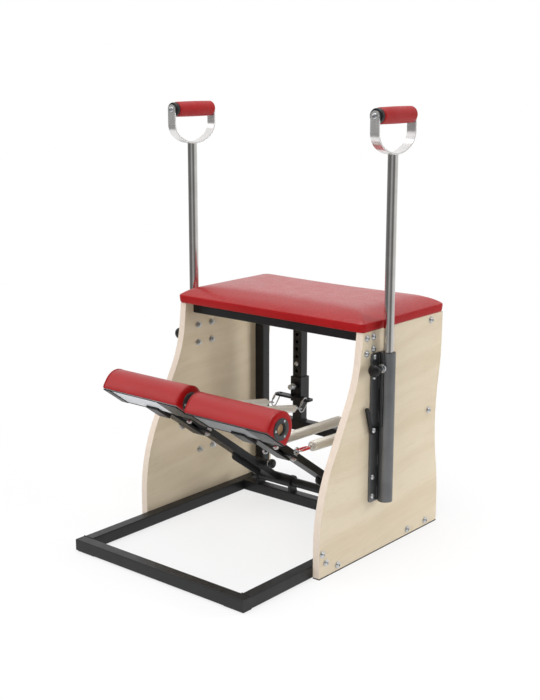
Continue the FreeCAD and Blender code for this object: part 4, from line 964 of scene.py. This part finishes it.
springs = {
    "radius": {"left": 0.0095, "right": 0.012}, "wire": 0.0014, "pitch": 0.0029, "pointsPerTurn": 14,
    "taper": 0.011, "neck": 0.0042, "webOffset": 0.050, "webY": 0.29065, "webZ": 0.287, "hangDegrees": 50,
    "linkSeat": 0.004457, "linkLength": 0.020, "linkRadius": 0.011, "linkWire": 0.0017,
    "gate": [(0, 0), (2.6, 0), (3.2, 0.6), (3.2, 3.0, "hex"), (3.2, 9.4, "hex"), (3.2, 11.4), (2.6, 12), (0, 12)],
    "gateIn": 0.97, "gateDown": 0.004,
    "frontRing": 0.0114, "coilStart": 0.0554, "coilEnd": 0.0275, "rearRing": 0.0149,
    "hookRadius": 0.008, "hookWire": 0.0018, "hookDegrees": (55, 30, 0, -30, -60, -90, -120, -150, 180, 150, 122),
    "clip": {"low": 0.012, "high": 0.041, "radius": 0.0068, "wire": 0.0027},
    "bendFrom": 0.0, "bendTo": 0.6,
}


def halfRound(begin, way):
    return [math.radians(begin + way * 22.5 * step) for step in range(9)]


def makeHook(name, place, ring, stemEnd, way, plug, body, spec):
    # an open hook: down the stem, round the ring and nearly back to the stem, with a plug in the coil
    radius = spec["hookRadius"]
    points = [(0, 0, stemEnd), (0, 0, (stemEnd + ring) / 2), (0, 0, ring + way * radius * 1.9)]
    for angle in map(math.radians, spec["hookDegrees"]):
        points.append((radius * math.cos(angle), 0, ring + way * radius * math.sin(angle)))
    bm = bmesh.new()
    addWire(bm, points, spec["hookWire"])
    lathe(bm, plug, Vector((0, 0, stemEnd)), Vector((0, 0, way)), 24)
    bmesh.ops.transform(bm, matrix=place, verts=bm.verts)
    seatOn(newPiece(name, bm, "zinc"), body, "zinc")


def makeSpring(name, side, which, spec):
    offset = side if which == "outer" else -side
    body, label = name + "_pedal", name + which.capitalize()
    reach = mount["straps"][mount["springStrap"][name]]
    eye = onArm(name, side * arm["x"] + offset * mount["tip"], reach, mount["eyeLevel"])
    hang = math.radians(spec["hangDegrees"])
    down = Vector((0, -math.cos(hang), -math.sin(hang)))
    web = Vector((side * bolts["columnX"] + offset * spec["webOffset"], spec["webY"], spec["webZ"]))
    upper = web + down * spec["linkSeat"]
    lower = upper + down * spec["linkLength"]
    length = (lower - eye).length
    first, second, axis = frameOf(lower - eye)
    place = Matrix.Translation(eye) @ Matrix((first, second, axis)).transposed().to_4x4()
    coilLength = length - spec["coilStart"] - spec["coilEnd"]
    turns = coilLength / spec["pitch"]
    radius = spec["radius"][name]
    coil = grown(label + "Coil", coilTree, "springNickel", {
        "Length": coilLength, "Radius": radius, "Wire": spec["wire"], "Turns": turns,
        "Points": int(turns * spec["pointsPerTurn"]), "Taper": spec["taper"], "Neck": spec["neck"]},
        place @ Matrix.Translation((0, 0, spec["coilStart"])))
    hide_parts(name + "_" + which + "_spring")
    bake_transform(coil)

    plug = [(0, -0.005), (0.0026, -0.005), (0.0034, -0.004), (0.0036, 0.002), (radius - 0.0032, 0.010), (0, 0.011)]
    makeHook(label + "FrontHook", place, spec["frontRing"], spec["coilStart"], 1, plug, body, spec)
    makeHook(label + "RearHook", place, length - spec["rearRing"], length - spec["coilEnd"], -1, plug, "frame", spec)

    link = bmesh.new()
    across = Vector((0, down.z, -down.y))
    bend = spec["linkRadius"]
    loop = []
    for centre, other, begin in ((lower, upper, 90), (upper, lower, 270)):
        loop += [centre + down * bend * math.cos(angle) + across * bend * math.sin(angle)
                 for angle in halfRound(begin, -1)]
        loop.append((loop[-1] + other - centre + loop[-1]) / 2)
    addWire(link, loop, spec["linkWire"], True)
    lathe(link, millimetres(spec["gate"]), upper + across * bend * spec["gateIn"] + down * spec["gateDown"], down, 24)
    snap = newPiece(label + "SnapLink", link, "zinc")
    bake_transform(snap)

    if name == "right" and which == "outer":
        # a red coated clip over the hook
        part = spec["clip"]
        loop = [(part["radius"] * math.cos(angle), 0, centre + part["radius"] * math.sin(angle))
                for centre, begin in ((part["low"], 180), (part["high"], 0)) for angle in halfRound(begin, 1)]
        bm = bmesh.new()
        addWire(bm, loop, part["wire"], True)
        bmesh.ops.transform(bm, matrix=place, verts=bm.verts)
        seatOn(newPiece("rightRedClip", bm, "redPlastic"), body, "red_grip")


for name, side in sides:
    for which in ("outer", "inner"):
        makeSpring(name, side, which, springs)
print("springs wound")

ringFit = {
    "axisReach": 0.592, "axisRise": -0.0005, "ends": (0.0145, 0.2725), "face": 0.003,
    "screwCircle": 0.0205, "screwDegrees": (180, 60, -60),
    "profile": [(14.05, -30), (14.05, 2.2), (14.7, 3.0), (24.9, 3.0), (26.0, 2.6), (26.5, 1.8), (26.5, 0), (18.0, 0),
                (18.0, -30), (14.05, -30)],
    "screw": [(0, 0), (2.9, 0), (2.9, 0.5), (2.4, 1.1), (1.5, 1.4), (1.3, 1.4, "hex"), (1.2, 0.6, "hex"), (0, 0.5)],
}


def makeRings(name, side, spec):
    bm = bmesh.new()
    places = []
    for end, way in zip(spec["ends"], (-side, side)):
        centre = onArm(name, side * end, spec["axisReach"], spec["axisRise"])
        out = Vector((way, 0, 0))
        lathe(bm, millimetres(spec["profile"]), centre, out, 64)
        for angle in map(math.radians, spec["screwDegrees"]):
            aside = Vector((0, math.cos(angle), math.sin(angle))) * spec["screwCircle"]
            places.append((centre + out * spec["face"] + aside, out))
    bmesh.ops.remove_doubles(bm, verts=bm.verts, dist=1e-6)
    seatOn(newPiece(name + "PedalRings", bm, "charcoalPlastic", sharp=40), name + "_pedal", "black_plastic",
           name + "_pedal_rings")
    fasten(name + "RingScrews", spec["screw"], places, 31 + side, name + "_pedal")


for name, side in sides:
    makeRings(name, side, ringFit)
print("pedal rings fitted")

cover = {"pressure": 4.0, "frames": 20, "tension": 8.0, "bend": 0.4, "mass": 0.25, "quality": 4}


def stuff(obj, held, cap, spec):
    # the filling pushes the cover outwards; held vertices stay, the rest moves no further than the cap
    start = [v.co.copy() for v in obj.data.vertices]
    group = obj.vertex_groups.new(name="held")
    group.add([i for i, co in enumerate(start) if held(co)], 1.0, "REPLACE")
    cloth = obj.modifiers.new("cover", "CLOTH")
    settings = {
        "quality": spec["quality"], "mass": spec["mass"], "tension_stiffness": spec["tension"],
        "compression_stiffness": spec["tension"], "bending_stiffness": spec["bend"], "vertex_group_mass": "held",
        "use_pressure": True, "uniform_pressure_force": spec["pressure"],
    }
    for key, value in settings.items():
        setattr(cloth.settings, key, value)
    cloth.settings.effector_weights.gravity = 0
    cloth.collision_settings.use_collision = False
    cloth.point_cache.frame_start = 1
    cloth.point_cache.frame_end = spec["frames"]
    for step in range(1, spec["frames"] + 1):
        scene.frame_set(step)
    depsgraph = bpy.context.evaluated_depsgraph_get()
    moved = [v.co.copy() for v in obj.evaluated_get(depsgraph).data.vertices]
    obj.modifiers.remove(cloth)
    obj.vertex_groups.clear()
    largest = 0.0
    for vert, old, new in zip(obj.data.vertices, start, moved):
        step = new - old
        largest = max(largest, step.length)
        if step.length > 1e-9:
            vert.co = old + step.normalized() * cap * math.tanh(step.length / cap)
    obj.data.update()
    scene.frame_set(1)
    print("stuffed", obj.name, "largest push %.1f mm" % (largest * 1000))


def refine(obj):
    fine = obj.modifiers.new("fine", "SUBSURF")
    fine.levels = fine.render_levels = 1
    applyModifiers(obj)
    shadeSmooth(obj.data)


def roundedOutline(low, high, radius, perCorner, perSide):
    # counter-clockwise points of a rectangle with rounded corners
    points = []
    centres = ((high[0] - radius, high[1] - radius, 0), (low[0] + radius, high[1] - radius, 90),
               (low[0] + radius, low[1] + radius, 180), (high[0] - radius, low[1] + radius, 270))

    def onCorner(x, y, degrees):
        angle = math.radians(degrees)
        return Vector((x + radius * math.cos(angle), y + radius * math.sin(angle)))

    for index, (x, y, begin) in enumerate(centres):
        points += [onCorner(x, y, begin + 90 * step / perCorner) for step in range(perCorner + 1)]
        last, after = points[-1].copy(), onCorner(*centres[(index + 1) % 4])
        points += [last.lerp(after, step / perSide) for step in range(1, perSide)]
    return points


def loftRings(bm, rings):
    rows = [[bm.verts.new(point) for point in ring] for ring in rings]
    count = len(rows[0])
    for low, high in zip(rows, rows[1:]):
        for step in range(count):
            after = (step + 1) % count
            bm.faces.new((low[step], low[after], high[after], high[step]))
    bm.faces.new(list(reversed(rows[0])))
    bm.faces.new(rows[-1])
    bmesh.ops.recalc_face_normals(bm, faces=bm.faces)


seat = {
    "low": (-0.306, 0.0229), "high": (0.306, 0.3835), "corner": 0.013, "leastCorner": 0.004,
    # (inset, height) from the hem up the side to the ridge, then over the soft top
    "levels": [(0.0120, 0.5772), (0.0060, 0.5770), (0.0030, 0.5776), (0.0014, 0.5800), (0.0008, 0.5850),
               (0.0003, 0.5915), (0.0, 0.5965), (0.0006, 0.5988), (0.0024, 0.6010), (0.0062, 0.6042), (0.0115, 0.6078),
               (0.0180, 0.6112), (0.0255, 0.6142), (0.0340, 0.6166), (0.0440, 0.6184), (0.0550, 0.6197),
               (0.0680, 0.6207), (0.0820, 0.6213), (0.0970, 0.6217), (0.1130, 0.6219), (0.1300, 0.6220),
               (0.1470, 0.6220), (0.1640, 0.6220)],
    "cap": 0.0032, "held": 0.5995, "perCorner": 8, "perSide": 44, "ridge": 0.5985,
    "pleats": 5, "pleatDepth": 0.0005, "pleatIn": 0.02, "pleatLow": 0.578, "pleatHigh": 0.600, "pleatFade": 0.010,
    "pleatSpread": 0.62,
}


def pleatCorners(mesh, spec):
    # folds of the cover where it is drawn round each corner
    (x0, y0), (x1, y1), inside = spec["low"], spec["high"], spec["pleatIn"]
    corners = [(cx, cy) for cx in (x0 + inside, x1 - inside) for cy in (y0 + inside, y1 - inside)]
    for vert in mesh.vertices:
        co = vert.co
        for cx, cy in corners:
            dx, dy = co.x - cx, co.y - cy
            if dx * cx > 0 and dy * (cy - 0.2) > 0 and spec["pleatLow"] < co.z < spec["pleatHigh"]:
                angle = math.atan2(abs(dy), abs(dx))
                fade = max(0.0, 1 - abs(angle - math.pi / 4) / spec["pleatSpread"])
                fade *= min(1.0, (spec["pleatHigh"] - co.z) / spec["pleatFade"])
                wave = math.cos(angle * spec["pleats"] * 4 + (co.z - 0.59) * 30)
                co += Vector((dx, dy, 0)).normalized() * spec["pleatDepth"] * fade * (wave - 0.6)


def makeSeat(spec):
    bm = bmesh.new()
    rings = []
    (x0, y0), (x1, y1) = spec["low"], spec["high"]
    for inset, height in spec["levels"]:
        outline = roundedOutline((x0 + inset, y0 + inset), (x1 - inset, y1 - inset),
                                 max(spec["leastCorner"], spec["corner"] - inset * 0.05), spec["perCorner"],
                                 spec["perSide"])
        rings.append([Vector((p.x, p.y, height)) for p in outline])
    middle, ends = (y0 + y1) / 2, x1 - (y1 - y0) / 2
    rings.append([Vector((max(-ends, min(ends, p.x)), middle, spec["levels"][-1][1])) for p in rings[-1]])
    loftRings(bm, rings)
    bmesh.ops.remove_doubles(bm, verts=bm.verts, dist=1e-5)
    bmesh.ops.dissolve_degenerate(bm, edges=bm.edges, dist=1e-5)
    pad = newPiece("seatCushion", bm, "seatVinyl", "sideVinyl")
    stuff(pad, lambda co: co.z < spec["held"], spec["cap"], cover)
    refine(pad)
    pleatCorners(pad.data, spec)
    # faces below the ridge take the dimmer copy of the vinyl as painted shade
    for face in pad.data.polygons:
        face.material_index = 1 if face.center.z < spec["ridge"] else 0
    seatOn(pad, "frame", "red_vinyl", "seat_pad")


makeSeat(seat)
print("seat upholstered")

pedal = {
    "near": 0.550, "far": 0.634, "base": -0.0275, "sideTop": -0.0015, "ends": (0.0145, 0.2725), "grow": 0.0012,
    "foot": 0.004, "chamfer": 0.0012, "endSteps": [(0.0, 0.0036), (0.0008, 0.0016), (0.0024, 0.0005), (0.0055, 0.0)],
    "bore": 0.0184, "borePast": 0.02, "voxel": 0.004, "smoothing": 3, "cap": 0.0026,
    "heldBase": -0.0245, "heldRing": 0.0275, "hollow": 0.003, "hollowBelow": 0.004, "endWay": 0.7,
    "pipingIn": 0.0030, "pipingRadius": 0.0013, "pipingOut": 0.45,
    "stitchIn": 0.0075, "stitchLength": 0.00168, "stitchGap": 0.0052, "stitchOut": 0.0001, "thread": 0.0004,
    "lap": 0.0002,
    "batten": {"widths": (0.024, 0.062), "fromEnd": 0.003, "depth": (0.5535, 0.6305), "thick": 0.0022, "eased": 0.0006},
    "trim": {"wide": 0.0042, "inset": 0.0022, "thick": 0.0008, "eased": 0.0003},
}


def pedalOutline(inset, spec):
    # the pedal's section as (reach, rise) points: flat base, upright sides and an arched top
    base, top, foot, chamfer = spec["base"], spec["sideTop"], spec["foot"], spec["chamfer"]
    middle = (spec["near"] + spec["far"]) / 2
    half = (spec["far"] - spec["near"]) / 2 - inset
    points = [(middle - half + foot + (2 * half - 2 * foot) * step / 10, base) for step in range(11)]
    points.append((middle + half - chamfer, base + chamfer))
    points += [(middle + half, base + foot + (top - base - foot) * step / 4) for step in range(4)]
    for angle in (math.pi * step / 24 for step in range(25)):
        points.append((middle + half * math.cos(angle), top + half * math.sin(angle)))
    points += [(middle - half, top - (top - base - foot) * step / 4) for step in range(1, 5)]
    points.append((middle - half + chamfer, base + chamfer))
    return points


def makeCushion(name, low, high, spec):
    steps = [(low - spec["grow"] + run, inset) for run, inset in spec["endSteps"]]
    steps += [(low + (high - low) * step / 12, 0.0) for step in range(1, 12)]
    steps += [(high + spec["grow"] - run, inset) for run, inset in reversed(spec["endSteps"])]
    bm = bmesh.new()
    loftRings(bm, [[Vector((x, -s, n)) for s, n in pedalOutline(inset - spec["grow"], spec)] for x, inset in steps])
    pad = newPiece(name + "PedalCushion", bm, "pedalVinyl", "sideVinyl")
    bm = bmesh.new()
    reach, rise = ringFit["axisReach"], ringFit["axisRise"]
    bore, past, run = spec["bore"], spec["borePast"], high - low
    lathe(bm, [(0, -past), (bore, -past), (bore, run + past), (0, run + past)],
          Vector((low, -reach, rise)), Vector((1, 0, 0)), 48)
    carve(pad, newPiece("boreDrill", bm, "pedalVinyl"))
    shell = pad.modifiers.new("shell", "REMESH")
    shell.mode = "VOXEL"
    shell.voxel_size = spec["voxel"]
    shell.use_smooth_shade = True
    applyModifiers(pad)
    bm = bmesh.new()
    bm.from_mesh(pad.data)
    for _ in range(spec["smoothing"]):
        bmesh.ops.smooth_vert(bm, verts=bm.verts, factor=0.5, use_axis_x=True, use_axis_y=True, use_axis_z=True)
    bm.to_mesh(pad.data)
    bm.free()

    def held(co):
        return co.z < spec["heldBase"] or math.hypot(co.y + reach, co.z - rise) < spec["heldRing"]

    stuff(pad, held, spec["cap"], cover)
    refine(pad)
    inside = spec["hollow"]
    for vert in pad.data.vertices:
        co = vert.co
        co.z = max(co.z, spec["base"])
        within = low + inside < co.x < high - inside and spec["near"] + inside < -co.y < spec["far"] - inside
        if within and co.z < spec["base"] + spec["hollowBelow"]:
            co.z += spec["hollow"]
    pad.data.materials.clear()
    for finish in ("pedalVinyl", "sideVinyl"):
        pad.data.materials.append(finishes[finish])
    # the pedal ends take the dimmer copy of the vinyl as painted shade
    for face in pad.data.polygons:
        face.material_index = 1 if abs(face.normal.x) > spec["endWay"] else 0
    return pad


def sewPedal(name, pad, low, high, spec):
    # a raised piping near each end of the cover and a row of stitches beside it
    body, place = name + "_pedal", armPlace[name]

    def seam(x, out):
        spots = []
        for s, n in pedalOutline(0.0, spec):
            if n >= spec["base"] + 0.0005:
                _, spot, normal, _ = pad.closest_point_on_mesh(Vector((x, -s, n)))
                spots.append(spot + normal * out)
        return spots

    piping = bmesh.new()
    lines, edges = [], []
    for end, inward in ((low, 1), (high, -1)):
        raised = seam(end + inward * spec["pipingIn"], spec["pipingRadius"] * spec["pipingOut"])
        addWire(piping, raised, spec["pipingRadius"])
        first = len(lines)
        lines += [tuple(spot) for spot in seam(end + inward * spec["stitchIn"], spec["stitchOut"])]
        edges += [(i, i + 1) for i in range(first, len(lines) - 1)]
    mesh = bpy.data.meshes.new(name + "Stitches")
    mesh.from_pydata(lines, edges, [])
    values = {"Gap": spec["stitchGap"], "Length": spec["stitchLength"], "Thread": spec["thread"]}
    seatOn(grown(name + "PedalStitches", stitchTree, "redThread", values, place, mesh), body, "red_vinyl")
    bmesh.ops.transform(piping, matrix=place, verts=piping.verts)
    seatOn(newPiece(name + "PedalPiping", piping, "pedalVinyl"), body, "red_vinyl")


def trimPedal(name, low, high, spec):
    # black battens across the underside and a thin border round it
    body, place, top = name + "_pedal", armPlace[name], spec["base"] + spec["lap"]
    strips = bmesh.new()
    part = spec["batten"]
    for edge, inward, width in ((low, 1, part["widths"][0]), (high, -1, part["widths"][1])):
        a = edge + inward * part["fromEnd"]
        b = a + inward * width
        addBox(strips, place, (min(a, b), -part["depth"][1], spec["base"] - part["thick"]),
               (max(a, b), -part["depth"][0], top), part["eased"])
    seatOn(newPiece(name + "PedalBattens", strips, "blackPlastic", weighted=True), body, "black_plastic")
    trim = bmesh.new()
    part = spec["trim"]
    wide = part["wide"]
    x0, x1 = low + part["inset"], high - part["inset"]
    y0, y1 = -spec["far"] + part["inset"], -spec["near"] - part["inset"]
    for xa, ya, xb, yb in ((x0, y1 - wide, x1, y1), (x0, y0, x1, y0 + wide), (x0, y0, x0 + wide, y1),
                           (x1 - wide, y0, x1, y1)):
        addBox(trim, place, (xa, ya, spec["base"] - part["thick"]), (xb, yb, top), part["eased"])
    seatOn(newPiece(name + "PedalTrim", trim, "rubber", weighted=True), body, "black_rubber")


def makePedal(name, side, spec):
    low, high = sorted(side * end for end in spec["ends"])
    pad = makeCushion(name, low, high, spec)
    sewPedal(name, pad, low, high, spec)
    pad.data.transform(armPlace[name])
    seatOn(pad, name + "_pedal", "red_vinyl", name + "_pedal_pad")
    trimPedal(name, low, high, spec)


for name, side in sides:
    makePedal(name, side, pedal)
print("pedals upholstered")

welds = {
    "bead": 0.0017, "fine": 0.0013,
    # from one point to another, on the right side
    "frame": [(0.251, -0.354, 0.0315, 0.281, -0.3539, 0.0315), (0.251, 0.228, 0.0315, 0.2512, 0.2281, 0.0315),
              (0.251, 0.258, 0.0315, 0.2512, 0.2581, 0.0315), (0.251, 0.313, 0.0315, 0.281, 0.3131, 0.0315),
              (0.251, 0.228, 0.031, 0.251, 0.258, 0.031), (0.2512, 0.313, 0.185, 0.2512, 0.313, 0.215),
              (0.2512, 0.313, 0.2155, 0.2512, 0.343, 0.2155), (0.112, 0.314, 0.2155, 0.112, 0.342, 0.2155),
              (0.142, 0.314, 0.2155, 0.142, 0.342, 0.2155), (0.112, 0.3132, 0.2155, 0.142, 0.3132, 0.2155),
              (0.112, 0.3132, 0.5468, 0.142, 0.3132, 0.5468)],
    "saddleXs": (0.0795, 0.0885, 0.1985, 0.2075), "saddleRun": (0.2285, 0.2575), "saddleZ": 0.0325,
    "holderX": 0.3056, "holderYs": (0.0945, 0.1175), "holderZs": (0.150, 0.235, 0.345, 0.430, 0.490),
    "holderRun": 0.026,
    "arm": [(0.1235, -0.0175, 0.006, 0.1235, -0.0175, -0.007), (0.1635, -0.0175, 0.006, 0.1635, -0.0175, -0.007),
            (0.1235, -0.0165, -0.009, 0.1635, -0.0165, -0.009), (0.1235, -0.0165, 0.008, 0.1635, -0.0165, 0.008)],
    "bow": {"bead": 0.0008, "radius": 0.0126, "z": 0.9948, "sag": 0.0009, "steps": 24},
}


def weldFrame(spec):
    def onSide(side, lines):
        return [(side * xa, ya, za, side * xb, yb, zb) for xa, ya, za, xb, yb, zb in lines]

    near, far = spec["saddleRun"]
    frameLines = spec["frame"] + [(x, near, spec["saddleZ"], x, far, spec["saddleZ"]) for x in spec["saddleXs"]]
    x = spec["holderX"]
    holderLines = [(x, y, z, x, y, z + spec["holderRun"]) for y in spec["holderYs"] for z in spec["holderZs"]]
    both = [[line for _, side in sides for line in onSide(side, lines)] for lines in (frameLines, holderLines)]
    weld("frameWelds", both[0], spec["bead"], "powderCoat", 41, "frame", "black_steel")
    weld("holderWelds", both[1], spec["fine"], "graphite", 43, "frame", "graphite_steel")
    bow = spec["bow"]
    for name, side in sides:
        weld(name + "ArmWelds", onSide(side, spec["arm"]), spec["bead"], "powderCoat", 47 + side, name + "_pedal",
             "black_steel", armPlace[name])
        ring = []
        for step in range(bow["steps"] + 1):
            angle = math.tau * step / bow["steps"]
            ring.append((side * grip["x"] + bow["radius"] * math.cos(angle),
                         holder["mastY"] + bow["radius"] * math.sin(angle),
                         bow["z"] + bow["sag"] * math.sin(angle) ** 2))
        weld(name + "BowWeld", [a + b for a, b in zip(ring, ring[1:])], bow["bead"], "polished", 53 + side,
             name + "_mast_handle", "polished_steel")


weldFrame(welds)
print("welds laid")

left = [node for node, obj in cadNodes.items() if not obj.hide_render]
print("solids still shown:", left)
